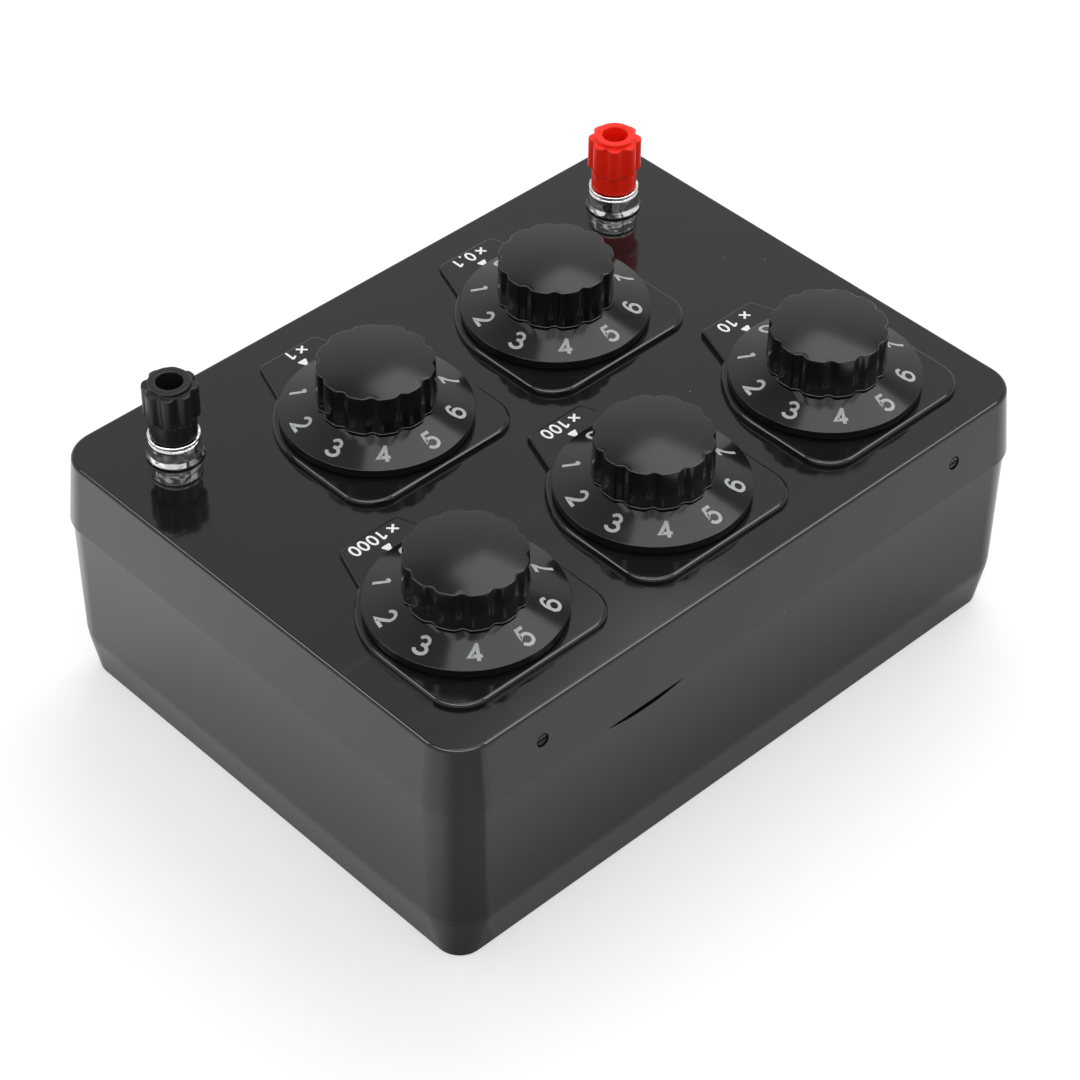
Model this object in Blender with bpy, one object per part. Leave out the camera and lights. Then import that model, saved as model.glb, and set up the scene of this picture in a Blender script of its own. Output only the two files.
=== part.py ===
"""Decade resistance box: five switched decades and two binding posts in a two-part moulded case.

Lengths are in metres, +Z is up and the origin is the middle of the base. The front, where the labels
read upright and the posts stand, faces -Y. Every dial stands at 0.
"""
import math

import bmesh
import bpy
from mathutils import Vector

# Running and seating clearance between neighbouring pieces, and the overrun of cuts and joins
FIT = 0.0003
OVERRUN = 0.001

# Case
CASE_HEIGHT = 0.070
COVER_DEPTH = 0.019
SKIRT_FLARE = 0.00185
PANEL_CORNER_RADIUS = 0.0099
PARTING_CORNER_RADIUS = 0.0117
PANEL_EDGE_RADIUS = 0.001
PANEL_THICKNESS = 0.003
SKIRT_WALL = 0.0024
CASE_STEP = 0.0005
CREASE_DEPTH = 0.0562
CREASE_INSET = 0.00107
BASE_INSET = 0.004
BASE_CORNER_RADIUS = 0.0063
BASE_EDGE_RADIUS = 0.0008
CASE_WALL = 0.0024
FLOOR_THICKNESS = 0.0026
LIP_HEIGHT = 0.005
LIP_WALL = 0.0018
LIP_DROP = 0.006
LIP_CHAMFER = 0.0026
NOTCH_FROM_SIDE = 0.0584
NOTCH_LENGTH = 0.027
NOTCH_DROP = 0.0018
NOTCH_DEPTH = 0.0015

# Side screws and the tabs of the case that they bite into
SCREW_FROM_SIDE = 0.0257
SCREW_BELOW_PANEL = 0.0094
SCREW_SHANK_RADIUS = 0.001
SCREW_HEAD_RADIUS = 0.0015
SCREW_HEAD_HEIGHT = 0.001
SCREW_REACH = 0.0028
SCREW_SINK = 0.0002
SCREW_SLOT_WIDTH = 0.0005
SCREW_SLOT_DEPTH = 0.0005
TAB_WIDTH = 0.009
TAB_THICKNESS = 0.0036
TAB_TOP_BELOW_PANEL = 0.005
TAB_ROOT = 0.004

# Dial skirt
STEP_COUNT = 10
DIAL_RADIUS = 0.024
DIAL_LIFT = 0.0005
DIAL_RIM_HEIGHT = 0.0021
DIAL_RIM_ROUND = 0.0005
DIAL_RISE = 0.0031
DIAL_BORE_RADIUS = 0.007
DIAL_SHELL = 0.002
DIAL_RIM_WALL = 0.0021

# Raised pad round each dial, with the tab that carries the label
PAD_HEIGHT = 0.0015
PAD_SIDE_MARGIN = 0.00165
PAD_REAR_MARGIN = 0.0014
PAD_CORNER_RADIUS = 0.009
PAD_EDGE_RADIUS = 0.00035
LABEL_SPACE = 0.0102
LABEL_TAB_ROOT_HALF = 0.0134
LABEL_TAB_TIP_HALF = 0.0090
LABEL_TAB_CORNER = 0.0016

# Free panel between the pads, round them, and round the posts
GAP_BESIDE_PADS = 0.0087
GAP_BETWEEN_ROWS = 0.0052
MARGIN_AT_SIDES = 0.00935
MARGIN_AT_REAR = 0.0091
MARGIN_AT_FRONT = 0.0099
POST_FROM_SIDE = 0.0212
POST_FROM_FRONT = 0.0203

# Knob
KNOB_BASE_RADIUS = 0.0151
KNOB_TOP_RADIUS = 0.0149
KNOB_HEIGHT = 0.0109
KNOB_DOME = 0.0008
KNOB_CROWN_SHARE = 0.72
KNOB_FLUTES = 12
KNOB_FLUTE_DEPTH = 0.00095
KNOB_SPIGOT_LENGTH = 0.0016
KNOB_BORE_LENGTH = 0.0104

# Shaft and bush
SHAFT_RADIUS = 0.003
SHAFT_TAIL = 0.0005
BUSH_THREAD_RADIUS = 0.0046
BUSH_BARREL_RADIUS = 0.0060
BUSH_BARREL_LENGTH = 0.0088
BUSH_SPIGOT_RADIUS = 0.0042
BUSH_SPIGOT_LENGTH = 0.002
BUSH_NUT_ACROSS_FLATS = 0.012
BUSH_NUT_THICKNESS = 0.0024

# Contact board, resistor chain, wiper and detent spring
BOARD_SETBACK = 0.002
BOARD_THICKNESS = 0.0016
STUD_FROM_BOARD_EDGE = 0.006
STUD_HEAD_RADIUS = 0.0024
STUD_HEAD_HEIGHT = 0.0014
STUD_TAIL_RADIUS = 0.0008
STUD_TAIL_LENGTH = 0.0012
LUG_OVERLAP = 0.0015
LUG_REACH = 0.004
LUG_WIDTH = 0.0035
LUG_THICKNESS = 0.0005
RESISTOR_RADIUS = 0.0013
RESISTOR_LENGTH_SHARE = 0.65
RESISTOR_WIRE_RADIUS = 0.0004
WIPER_HUB_RADIUS = 0.0055
WIPER_HUB_LENGTH = 0.0050
WIPER_BELOW_BOARD = 0.0008
WIPER_ARM_PAST_STUD = 0.0022
WIPER_ARM_WIDTH = 0.0044
WIPER_ARM_THICKNESS = 0.001
WIPER_NOSE_RADIUS = 0.0014
WIPER_NOSE_HEIGHT = 0.0003
DETENT_WHEEL_RADIUS = 0.008
DETENT_WHEEL_THICKNESS = 0.002
DETENT_NOTCH_DEPTH = 0.001
SPRING_THICKNESS = 0.0005
SPRING_HEIGHT = 0.0018
SPRING_NIB_HALF = 0.0020
SPRING_NIB_RISE = 0.0016
SPRING_ANCHOR_FROM_BOARD_EDGE = 0.0015
SPRING_ANCHOR_ANGLE = math.radians(139)
SPRING_TAIL_LENGTH = 0.0045
SPRING_TAIL_RISE = 0.0001
SPRING_LEG_WIDTH = 0.0024
SPRING_LEG_THICKNESS = 0.0014

# Binding posts
POST_THREAD_RADIUS = 0.003
POST_FLANGE_RADIUS = 0.0072
POST_FLANGE_HEIGHT = 0.0019
POST_COLLAR_BASE_RADIUS = 0.0070
POST_COLLAR_TOP_RADIUS = 0.00655
POST_COLLAR_HEIGHT = 0.0051
POST_TUBE_HEIGHT = 0.0091
POST_SOCKET_RADIUS = 0.00205
POST_SOCKET_DEPTH = 0.0185
POST_TAIL = 0.014
WASHER_RADIUS = 0.0065
WASHER_THICKNESS = 0.0008
CAP_HEIGHT = 0.0156
CAP_NECK_RADIUS = 0.0059
CAP_NECK_HEIGHT = 0.0059
CAP_LOBE_RADIUS = 0.0069
CAP_LOBE_DEPTH = 0.0009
CAP_LOBE_RAMP = 0.0009
CAP_LOBES = 8
CAP_SHOULDER_BELOW_TOP = 0.0011
CAP_BOSS_RADIUS = 0.0053
TAG_RADIUS = 0.0055
TAG_THICKNESS = 0.0008
POST_NUT_ACROSS_FLATS = 0.010
POST_NUT_THICKNESS = 0.0032

# Internal leads
LEAD_RADIUS = 0.0006
LEAD_END_ON_LUG = 0.0025
LEAD_ARCH = 0.0022
LEAD_TAG_START = 0.0048

# How finely round shapes are divided
CORNER_STEPS = 5
PAD_CORNER_STEPS = 4
PAD_FRONT_STEPS = 5
PAD_TIP_STEPS = 2
DIAL_STEPS = 28
BOARD_STEPS = 20
POST_STEPS = 16
SMALL_STEPS = 12
PIN_STEPS = 6
TAIL_STEPS = 4
STEPS_PER_FLUTE = 4
NOTCH_STEPS = 10
LEAD_POINTS = 7
LEAD_SIDES = 6
RESISTOR_SIDES = 5
SMOOTH_ANGLE = math.radians(35)

# Places and sizes on the panel that follow from the sizes above
PAD_HALF_WIDTH = DIAL_RADIUS + PAD_SIDE_MARGIN
PAD_REAR = DIAL_RADIUS + PAD_REAR_MARGIN
LABEL_TAB_REACH = DIAL_RADIUS + LABEL_SPACE
DIAL_PITCH = PAD_HALF_WIDTH * 2 + GAP_BESIDE_PADS
ROW_PITCH = PAD_REAR + LABEL_TAB_REACH + GAP_BETWEEN_ROWS
PANEL_LENGTH = (DIAL_PITCH + PAD_HALF_WIDTH + MARGIN_AT_SIDES) * 2
PANEL_WIDTH = MARGIN_AT_REAR + PAD_REAR + ROW_PITCH + LABEL_TAB_REACH + MARGIN_AT_FRONT
REAR_ROW_Y = PANEL_WIDTH / 2 - MARGIN_AT_REAR - PAD_REAR
FRONT_ROW_Y = REAR_ROW_Y - ROW_PITCH
POST_PLACE_X = PANEL_LENGTH / 2 - POST_FROM_SIDE
POST_PLACE_Y = POST_FROM_FRONT - PANEL_WIDTH / 2
SCREW_PLACE_X = PANEL_LENGTH / 2 - SCREW_FROM_SIDE
NOTCH_PLACE_X = PANEL_LENGTH / 2 - NOTCH_FROM_SIDE

# Sizes inside that follow from the dial's
BOARD_RADIUS = DIAL_RADIUS - BOARD_SETBACK
STUD_CIRCLE_RADIUS = BOARD_RADIUS - STUD_FROM_BOARD_EDGE
LUG_INNER = BOARD_RADIUS - LUG_OVERLAP
LUG_OUTER = BOARD_RADIUS + LUG_REACH
LEAD_END_FROM_AXIS = BOARD_RADIUS + LEAD_END_ON_LUG
WIPER_ARM_REACH = STUD_CIRCLE_RADIUS + WIPER_ARM_PAST_STUD

# Heights that follow from the sizes above
PARTING_Z = CASE_HEIGHT - COVER_DEPTH
PAD_TOP_Z = CASE_HEIGHT + PAD_HEIGHT
PANEL_UNDER_Z = CASE_HEIGHT - PANEL_THICKNESS
DIAL_UNDER_Z = PAD_TOP_Z + DIAL_LIFT
DIAL_TOP_Z = DIAL_UNDER_Z + DIAL_RIM_HEIGHT + DIAL_RISE
KNOB_UNDER_Z = DIAL_TOP_Z + FIT
KNOB_SPIGOT_Z = KNOB_UNDER_Z - KNOB_SPIGOT_LENGTH - FIT
BUSH_TOP_Z = PAD_TOP_Z + FIT + BUSH_NUT_THICKNESS
BUSH_BARREL_Z = PANEL_UNDER_Z - FIT
BUSH_SHOULDER_Z = BUSH_BARREL_Z - BUSH_BARREL_LENGTH
BUSH_END_Z = BUSH_SHOULDER_Z - BUSH_SPIGOT_LENGTH
BOARD_TOP_Z = BUSH_SHOULDER_Z - FIT
BOARD_UNDER_Z = BOARD_TOP_Z - BOARD_THICKNESS
CHAIN_Z = BOARD_TOP_Z + STUD_TAIL_LENGTH + FIT + RESISTOR_WIRE_RADIUS
WIPER_TOP_Z = BOARD_UNDER_Z - WIPER_BELOW_BOARD
WIPER_UNDER_Z = WIPER_TOP_Z - WIPER_HUB_LENGTH
STUD_UNDER_Z = BOARD_UNDER_Z - STUD_HEAD_HEIGHT
LUG_TOP_Z = BOARD_TOP_Z + LUG_THICKNESS
LEAD_Z = LUG_TOP_Z + FIT + LEAD_RADIUS
POST_FLANGE_Z = CASE_HEIGHT + FIT
COLLAR_TOP_Z = POST_FLANGE_Z + POST_COLLAR_HEIGHT
WASHER_Z = COLLAR_TOP_Z + FIT
CAP_UNDER_Z = WASHER_Z + WASHER_THICKNESS + FIT
TAG_Z = PANEL_UNDER_Z - FIT - TAG_THICKNESS
POST_NUT_Z = TAG_Z - FIT - POST_NUT_THICKNESS
SCREW_Z = CASE_HEIGHT - SCREW_BELOW_PANEL
BORE_RADIUS = SHAFT_RADIUS + FIT
POST_BORE_RADIUS = POST_THREAD_RADIUS + FIT

# The decades in the order in which the current passes through them, with the place of each dial
DECADES = {
    "x0_1": (-DIAL_PITCH / 2, FRONT_ROW_Y),
    "x10": (-DIAL_PITCH, REAR_ROW_Y),
    "x100": (0.0, REAR_ROW_Y),
    "x1000": (DIAL_PITCH, REAR_ROW_Y),
    "x1": (DIAL_PITCH / 2, FRONT_ROW_Y),
}
POSTS = {"red": (-POST_PLACE_X, POST_PLACE_Y), "black": (POST_PLACE_X, POST_PLACE_Y)}
FRONT_ANGLE = -math.pi / 2
REAR_ANGLE = math.pi / 2


def clear_scene():
    """Removes every object, so that the script can be run again."""
    for obj in list(bpy.data.objects):
        bpy.data.objects.remove(obj, do_unlink=True)


def material(name, colour, roughness, metallic=0.0):
    """Gives the named Principled material, made once."""
    found = bpy.data.materials.get(name)
    if found:
        return found
    made = bpy.data.materials.new(name)
    made.use_nodes = True
    shader = made.node_tree.nodes["Principled BSDF"]
    shader.inputs["Base Color"].default_value = (*colour, 1.0)
    shader.inputs["Roughness"].default_value = roughness
    shader.inputs["Metallic"].default_value = metallic
    made.diffuse_color = (*colour, 1.0)
    return made


def case_plastic():
    return material("black_abs", (0.020, 0.020, 0.022), 0.22)


def knob_plastic():
    return material("knob_black_plastic", (0.014, 0.014, 0.015), 0.16)


def dial_plastic():
    return material("dial_black_plastic", (0.030, 0.030, 0.032), 0.25)


def red_plastic():
    return material("red_cap_plastic", (0.72, 0.025, 0.015), 0.35)


def black_cap_plastic():
    return material("black_cap_plastic", (0.020, 0.020, 0.020), 0.45)


def chrome():
    return material("chromed_brass", (0.83, 0.83, 0.82), 0.12, 1.0)


def brass():
    return material("bare_brass", (0.72, 0.53, 0.25), 0.28, 1.0)


def steel():
    return material("zinced_steel", (0.56, 0.57, 0.58), 0.30, 1.0)


def spring_steel():
    return material("spring_steel", (0.42, 0.43, 0.45), 0.25, 1.0)


def board_laminate():
    return material("brown_laminate", (0.20, 0.085, 0.035), 0.55)


def resistor_lacquer():
    return material("resistor_blue_lacquer", (0.10, 0.32, 0.50), 0.40)


def lead_sleeve(name, colour):
    return material(name, colour, 0.45)


def loft(rings, closed=False):
    """Mesh through rings of equal point counts: end caps, or joined last to first when closed."""
    mesh = bmesh.new()
    rows = [[mesh.verts.new(point) for point in ring] for ring in rings]
    count = len(rings[0])
    pairs = list(zip(rows, rows[1:]))
    if closed:
        pairs.append((rows[-1], rows[0]))
    for lower, upper in pairs:
        for i in range(count):
            j = (i + 1) % count
            mesh.faces.new((lower[i], lower[j], upper[j], upper[i]))
    if not closed:
        mesh.faces.new(rows[0])
        mesh.faces.new(rows[-1])
    bmesh.ops.recalc_face_normals(mesh, faces=mesh.faces[:])
    return mesh


def merge(shapes):
    """One mesh that holds every given mesh as its own body."""
    joined = bmesh.new()
    for shape in shapes:
        scratch = bpy.data.meshes.new("scratch")
        shape.to_mesh(scratch)
        shape.free()
        joined.from_mesh(scratch)
        bpy.data.meshes.remove(scratch)
    return joined


def place(name, shape, finish, spot=(0.0, 0.0)):
    """Turns a mesh into the named object, smooth where it is round, with its origin over the spot."""
    data = bpy.data.meshes.new(name)
    shape.to_mesh(data)
    shape.free()
    data.shade_smooth()
    data.set_sharp_from_angle(angle=SMOOTH_ANGLE)
    obj = bpy.data.objects.new(name, data)
    obj.location = (spot[0], spot[1], 0.0)
    bpy.context.collection.objects.link(obj)
    if finish:
        data.materials.append(finish)
    return obj


def apply_shape(obj, operation, shape):
    """Cuts a mesh out of the object, or joins it on, with a Boolean whose operand stays hidden."""
    tool = place(f"{obj.name}_{operation.lower()}_shape", shape, None)
    tool.location = obj.location
    tool.hide_render = True
    tool.display_type = "WIRE"
    boolean = obj.modifiers.new(operation.title(), "BOOLEAN")
    boolean.operation = operation
    boolean.solver = "EXACT"
    boolean.object = tool


def on_circle(radius, angle):
    return radius * math.cos(angle), radius * math.sin(angle)


def circle(radius, height, steps):
    return shaped_ring(lambda angle: radius, height, steps)


def shaped_ring(radius_at, height, steps):
    """Ring about Z whose radius is a function of the angle."""
    angles = [2 * math.pi * i / steps for i in range(steps)]
    return [(radius_at(a) * math.cos(a), radius_at(a) * math.sin(a), height) for a in angles]


def hexagon(across_flats, height, steps):
    """Hexagonal ring with its points spread round it as on a circle."""
    def radius_at(angle):
        sixth = math.pi / 3
        return across_flats / 2 / math.cos((angle + sixth / 2) % sixth - sixth / 2)
    return shaped_ring(radius_at, height, steps)


def fluted(radius, height, depth, flutes, steps):
    """Ring with evenly spaced shallow grooves between broad lobes, a lobe facing +X."""
    def radius_at(angle):
        return radius - depth * max(0.0, -math.cos(flutes * angle))
    return shaped_ring(radius_at, height, steps)


def box(low, high):
    """Block between two opposite corners."""
    mesh = bmesh.new()
    bmesh.ops.create_cube(mesh, size=1)
    for vert in mesh.verts:
        vert.co = Vector((high[k] if vert.co[k] > 0 else low[k] for k in range(3)))
    return mesh


def moved(mesh, spot, angle=0.0):
    """The mesh, turned about Z and then moved over the spot."""
    cos, sin = math.cos(angle), math.sin(angle)
    for vert in mesh.verts:
        x, y, z = vert.co
        vert.co = Vector((x * cos - y * sin + spot[0], x * sin + y * cos + spot[1], z))
    return mesh


def rounded_rectangle(half_x, half_y, radius, height):
    """Ring round a rectangle with round corners, starting on the +X side and running through +Y."""
    points = []
    for quarter in range(4):
        sign_x = 1 if quarter in (0, 3) else -1
        sign_y = 1 if quarter in (0, 1) else -1
        for step in range(CORNER_STEPS + 1):
            angle = math.pi / 2 * (quarter + step / CORNER_STEPS)
            points.append((sign_x * (half_x - radius) + radius * math.cos(angle),
                           sign_y * (half_y - radius) + radius * math.sin(angle), height))
    return points


def skirt_offset(height):
    """How far the cover's outer face stands outside the panel's edge at this height."""
    return SKIRT_FLARE * (CASE_HEIGHT - height) / COVER_DEPTH


def skirt_ring(height, inset=0.0):
    """Ring on the cover's outer face, or a wall's thickness inside it."""
    share = (CASE_HEIGHT - height) / COVER_DEPTH
    radius = PANEL_CORNER_RADIUS + (PARTING_CORNER_RADIUS - PANEL_CORNER_RADIUS) * share
    grow = skirt_offset(height) - inset
    return rounded_rectangle(PANEL_LENGTH / 2 + grow, PANEL_WIDTH / 2 + grow, radius - inset, height)


def case_ring(height, inset=0.0):
    """Ring on the bottom case's outer face: nearly upright to the crease, then drawn in to the base."""
    top_z = PARTING_Z - FIT
    crease_z = CASE_HEIGHT - CREASE_DEPTH
    crease_radius = PARTING_CORNER_RADIUS - CREASE_INSET
    if height >= crease_z:
        share = (top_z - height) / (top_z - crease_z)
        step = CASE_STEP + (CREASE_INSET - CASE_STEP) * share
        radius = PARTING_CORNER_RADIUS + (crease_radius - PARTING_CORNER_RADIUS) * share
    else:
        share = (crease_z - height) / crease_z
        step = CREASE_INSET + (BASE_INSET - CREASE_INSET) * share
        radius = crease_radius + (BASE_CORNER_RADIUS - crease_radius) * share
    grow = SKIRT_FLARE - step - inset
    return rounded_rectangle(PANEL_LENGTH / 2 + grow, PANEL_WIDTH / 2 + grow, radius - inset, height)


def round_over(radius, steps):
    """Inset and drop of the points of a quarter round, from the flank to the face."""
    for step in range(steps + 1):
        angle = math.pi / 2 * step / steps
        yield radius * (1 - math.cos(angle)), radius * (1 - math.sin(angle))


def inset_outline(points, distance, height):
    """Moves every point of an outline that runs anticlockwise inward by the distance."""
    inset_points = []
    for i, here in enumerate(points):
        before = Vector(here) - Vector(points[i - 1])
        after = Vector(points[(i + 1) % len(points)]) - Vector(here)
        sides = [Vector((-edge.y, edge.x)).normalized() for edge in (before, after)]
        middle = (sides[0] + sides[1]).normalized()
        reach = distance / middle.dot(sides[0])
        inset_points.append((here[0] + middle.x * reach, here[1] + middle.y * reach, height))
    return inset_points


def arc(centre, radius, start, end, steps):
    """Points of an arc about the centre."""
    angles = [start + (end - start) * i / steps for i in range(steps + 1)]
    return [(centre[0] + radius * math.cos(a), centre[1] + radius * math.sin(a)) for a in angles]


def pad_outline():
    """Pad round a dial: square corners at the rear, a half round in front and the label's tab."""
    side, corner, tip = PAD_HALF_WIDTH, PAD_CORNER_RADIUS, LABEL_TAB_CORNER
    root_angle = math.acos(LABEL_TAB_ROOT_HALF / side)
    rear = arc((side - corner, PAD_REAR - corner), corner, 0.0, REAR_ANGLE, PAD_CORNER_STEPS)
    front = arc((0.0, 0.0), side, -root_angle, 0.0, PAD_FRONT_STEPS)[:-1]
    corner_spot = (LABEL_TAB_TIP_HALF - tip, tip - LABEL_TAB_REACH)
    label = arc(corner_spot, tip, FRONT_ANGLE, 0.0, PAD_TIP_STEPS)
    right = label + front + rear
    return right + [(-x, y) for x, y in reversed(right)]


def pad_shape(spot):
    """One raised pad with a narrow bevel round its top, rooted in the panel."""
    outline = [(x + spot[0], y + spot[1]) for x, y in pad_outline()]
    return loft([inset_outline(outline, 0.0, CASE_HEIGHT - OVERRUN),
                 inset_outline(outline, 0.0, PAD_TOP_Z - PAD_EDGE_RADIUS),
                 inset_outline(outline, PAD_EDGE_RADIUS, PAD_TOP_Z)])


def rod(radius, bottom, top, spot=(0.0, 0.0), steps=SMALL_STEPS):
    """Upright round bar."""
    return moved(loft([circle(radius, bottom, steps), circle(radius, top, steps)]), spot)


def screw_face_y():
    """Distance of the skirt's outer face from the middle at the screws' height."""
    return PANEL_WIDTH / 2 + skirt_offset(SCREW_Z)


def screw_cuts():
    """Clearance holes and head pockets of the side screws, through the skirt."""
    face = screw_face_y()
    pocket = face - SCREW_SINK - SCREW_HEAD_HEIGHT - FIT
    inner = face - SKIRT_WALL - OVERRUN
    cuts = []
    for side in (-1, 1):
        for x in (-SCREW_PLACE_X, SCREW_PLACE_X):
            profile = [(SCREW_SHANK_RADIUS + FIT, inner), (SCREW_SHANK_RADIUS + FIT, pocket),
                       (SCREW_HEAD_RADIUS + FIT, pocket), (SCREW_HEAD_RADIUS + FIT, face + OVERRUN)]
            cuts.append(side_turned(profile, x, side))
    return cuts


def side_turned(profile, place_x, side):
    """Turned shape along Y from radii and distances from the middle, on the given side."""
    rings = [[(place_x + x, side * reach, SCREW_Z + z) for x, z, _ in circle(radius, 0.0, SMALL_STEPS)]
             for radius, reach in profile]
    return loft(rings)


def make_top_cover():
    """Panel and skirt in one moulding, with the pads, the bush and post holes and the screw holes."""
    rings = [skirt_ring(PANEL_UNDER_Z, SKIRT_WALL), skirt_ring(PARTING_Z, SKIRT_WALL)]
    rings.append(skirt_ring(PARTING_Z))
    for inset, drop in round_over(PANEL_EDGE_RADIUS, 2):
        rings.append(skirt_ring(CASE_HEIGHT - drop, inset))
    cover = place("top_cover", loft(rings), case_plastic())
    apply_shape(cover, "UNION", merge([pad_shape(spot) for spot in DECADES.values()]))
    low, high = PANEL_UNDER_Z - OVERRUN, PAD_TOP_Z + OVERRUN
    cuts = [rod(BUSH_THREAD_RADIUS + FIT, low, high, spot) for spot in DECADES.values()]
    cuts += [rod(POST_BORE_RADIUS, low, high, spot) for spot in POSTS.values()]
    apply_shape(cover, "DIFFERENCE", merge(cuts + screw_cuts()))


def make_bottom_case():
    """Tub with a lip that stands inside the cover, four tabs for the screws and a prying notch."""
    top_z = PARTING_Z - FIT
    lip_top_z = PARTING_Z + LIP_HEIGHT
    lip_inset = SKIRT_WALL + FIT
    inner_lip_inset = lip_inset + LIP_WALL
    drop_z = PARTING_Z - LIP_DROP
    crease_z = CASE_HEIGHT - CREASE_DEPTH
    rings = [case_ring(drop, inset) for drop, inset in round_over(BASE_EDGE_RADIUS, 2)]
    rings += [case_ring(crease_z), case_ring(top_z)]
    foot = skirt_ring(lip_top_z, lip_inset)
    rings.append([(x, y, top_z) for x, y, _ in foot])
    rings.append(foot)
    inner = skirt_ring(lip_top_z, inner_lip_inset)
    rings.append(inner)
    rings.append([(x, y, drop_z) for x, y, _ in inner])
    rings.append(case_ring(drop_z - LIP_CHAMFER, CASE_WALL))
    rings += [case_ring(crease_z, CASE_WALL), case_ring(FLOOR_THICKNESS, CASE_WALL)]
    case = place("bottom_case", loft(rings), case_plastic())
    tab_top = CASE_HEIGHT - TAB_TOP_BELOW_PANEL
    outer = PANEL_WIDTH / 2 + skirt_offset(tab_top) - SKIRT_WALL - FIT
    tabs = []
    for side in (-1, 1):
        for x in (-SCREW_PLACE_X, SCREW_PLACE_X):
            ends = sorted((side * outer, side * (outer - TAB_THICKNESS)))
            tabs.append(box((x - TAB_WIDTH / 2, ends[0], lip_top_z - TAB_ROOT),
                            (x + TAB_WIDTH / 2, ends[1], tab_top)))
    apply_shape(case, "UNION", merge(tabs))
    bore = [(SCREW_SHANK_RADIUS + FIT, outer - TAB_THICKNESS - OVERRUN),
            (SCREW_SHANK_RADIUS + FIT, outer + OVERRUN)]
    cuts = [side_turned(bore, x, side) for side in (-1, 1) for x in (-SCREW_PLACE_X, SCREW_PLACE_X)]
    cuts.append(notch_cut(top_z))
    apply_shape(case, "DIFFERENCE", merge(cuts))


def notch_cut(edge_z):
    """Shallow scoop in the case's rear top edge, as wide as its chord, for prying the cover off."""
    radius = ((NOTCH_LENGTH / 2) ** 2 + NOTCH_DROP ** 2) / (2 * NOTCH_DROP)
    centre_z = edge_z - NOTCH_DROP + radius
    spread = math.asin((NOTCH_LENGTH / 2 + OVERRUN) / radius)
    bow = arc((NOTCH_PLACE_X, centre_z), radius, FRONT_ANGLE - spread, FRONT_ANGLE + spread, NOTCH_STEPS)
    face = PANEL_WIDTH / 2 + SKIRT_FLARE - CASE_STEP
    crown = [(NOTCH_PLACE_X + NOTCH_LENGTH / 2 + OVERRUN, edge_z + OVERRUN),
             (NOTCH_PLACE_X - NOTCH_LENGTH / 2 - OVERRUN, edge_z + OVERRUN)]
    rings = [[(x, y, z) for x, z in bow + crown] for y in (face - NOTCH_DEPTH, face + OVERRUN)]
    return loft(rings)


def make_cover_screws():
    """Four sunk slotted screws that pass through the skirt into the tabs of the case."""
    names = {(-1, -1): "front_left", (1, -1): "front_right", (-1, 1): "rear_left", (1, 1): "rear_right"}
    head_face = screw_face_y() - SCREW_SINK
    head_back = head_face - SCREW_HEAD_HEIGHT
    tab_face = screw_face_y() - SKIRT_WALL - FIT
    for (across, side), label in names.items():
        x = across * SCREW_PLACE_X
        profile = [(SCREW_SHANK_RADIUS, tab_face - SCREW_REACH), (SCREW_SHANK_RADIUS, head_back),
                   (SCREW_HEAD_RADIUS, head_back), (SCREW_HEAD_RADIUS, head_face)]
        screw = place(f"cover_screw_{label}", side_turned(profile, x, side), steel())
        ends = sorted((side * (head_face - SCREW_SLOT_DEPTH), side * (head_face + OVERRUN)))
        slot = box((x - SCREW_HEAD_RADIUS - OVERRUN, ends[0], SCREW_Z - SCREW_SLOT_WIDTH / 2),
                   (x + SCREW_HEAD_RADIUS + OVERRUN, ends[1], SCREW_Z + SCREW_SLOT_WIDTH / 2))
        apply_shape(screw, "DIFFERENCE", slot)


def make_dial(decade, spot):
    """Shallow conical skirt that carries the numbers, hollow underneath to clear the bush's nut."""
    rim_top = DIAL_UNDER_Z + DIAL_RIM_HEIGHT
    inner_rim = DIAL_RADIUS - DIAL_RIM_WALL
    profile = [(DIAL_BORE_RADIUS, DIAL_TOP_Z), (DIAL_BORE_RADIUS, DIAL_TOP_Z - DIAL_SHELL),
               (inner_rim, DIAL_UNDER_Z + DIAL_RIM_HEIGHT / 2), (inner_rim, DIAL_UNDER_Z),
               (DIAL_RADIUS, DIAL_UNDER_Z)]
    profile += [(DIAL_RADIUS - inset, rim_top - drop) for inset, drop in round_over(DIAL_RIM_ROUND, 1)]
    profile.append((KNOB_BASE_RADIUS - KNOB_FLUTE_DEPTH, DIAL_TOP_Z))
    rings = [circle(radius, height, DIAL_STEPS) for radius, height in profile]
    place(f"{decade}_dial", loft(rings, closed=True), dial_plastic(), spot)


def make_knob(decade, spot):
    """Fluted knob with a low crown, a spigot that centres the dial and a blind bore for the shaft."""
    steps = KNOB_FLUTES * STEPS_PER_FLUTE
    rim_z = KNOB_UNDER_Z + KNOB_HEIGHT
    grip = [fluted(KNOB_BASE_RADIUS, KNOB_UNDER_Z, KNOB_FLUTE_DEPTH, KNOB_FLUTES, steps),
            fluted(KNOB_TOP_RADIUS, rim_z, KNOB_FLUTE_DEPTH, KNOB_FLUTES, steps),
            circle(KNOB_TOP_RADIUS * KNOB_CROWN_SHARE, rim_z + KNOB_DOME, steps)]
    knob = place(f"{decade}_knob", loft(grip), knob_plastic(), spot)
    apply_shape(knob, "UNION", rod(DIAL_BORE_RADIUS - FIT, KNOB_SPIGOT_Z, KNOB_UNDER_Z + OVERRUN))
    bore = rod(BORE_RADIUS, KNOB_SPIGOT_Z - OVERRUN, KNOB_SPIGOT_Z + KNOB_BORE_LENGTH)
    apply_shape(knob, "DIFFERENCE", bore)


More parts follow.
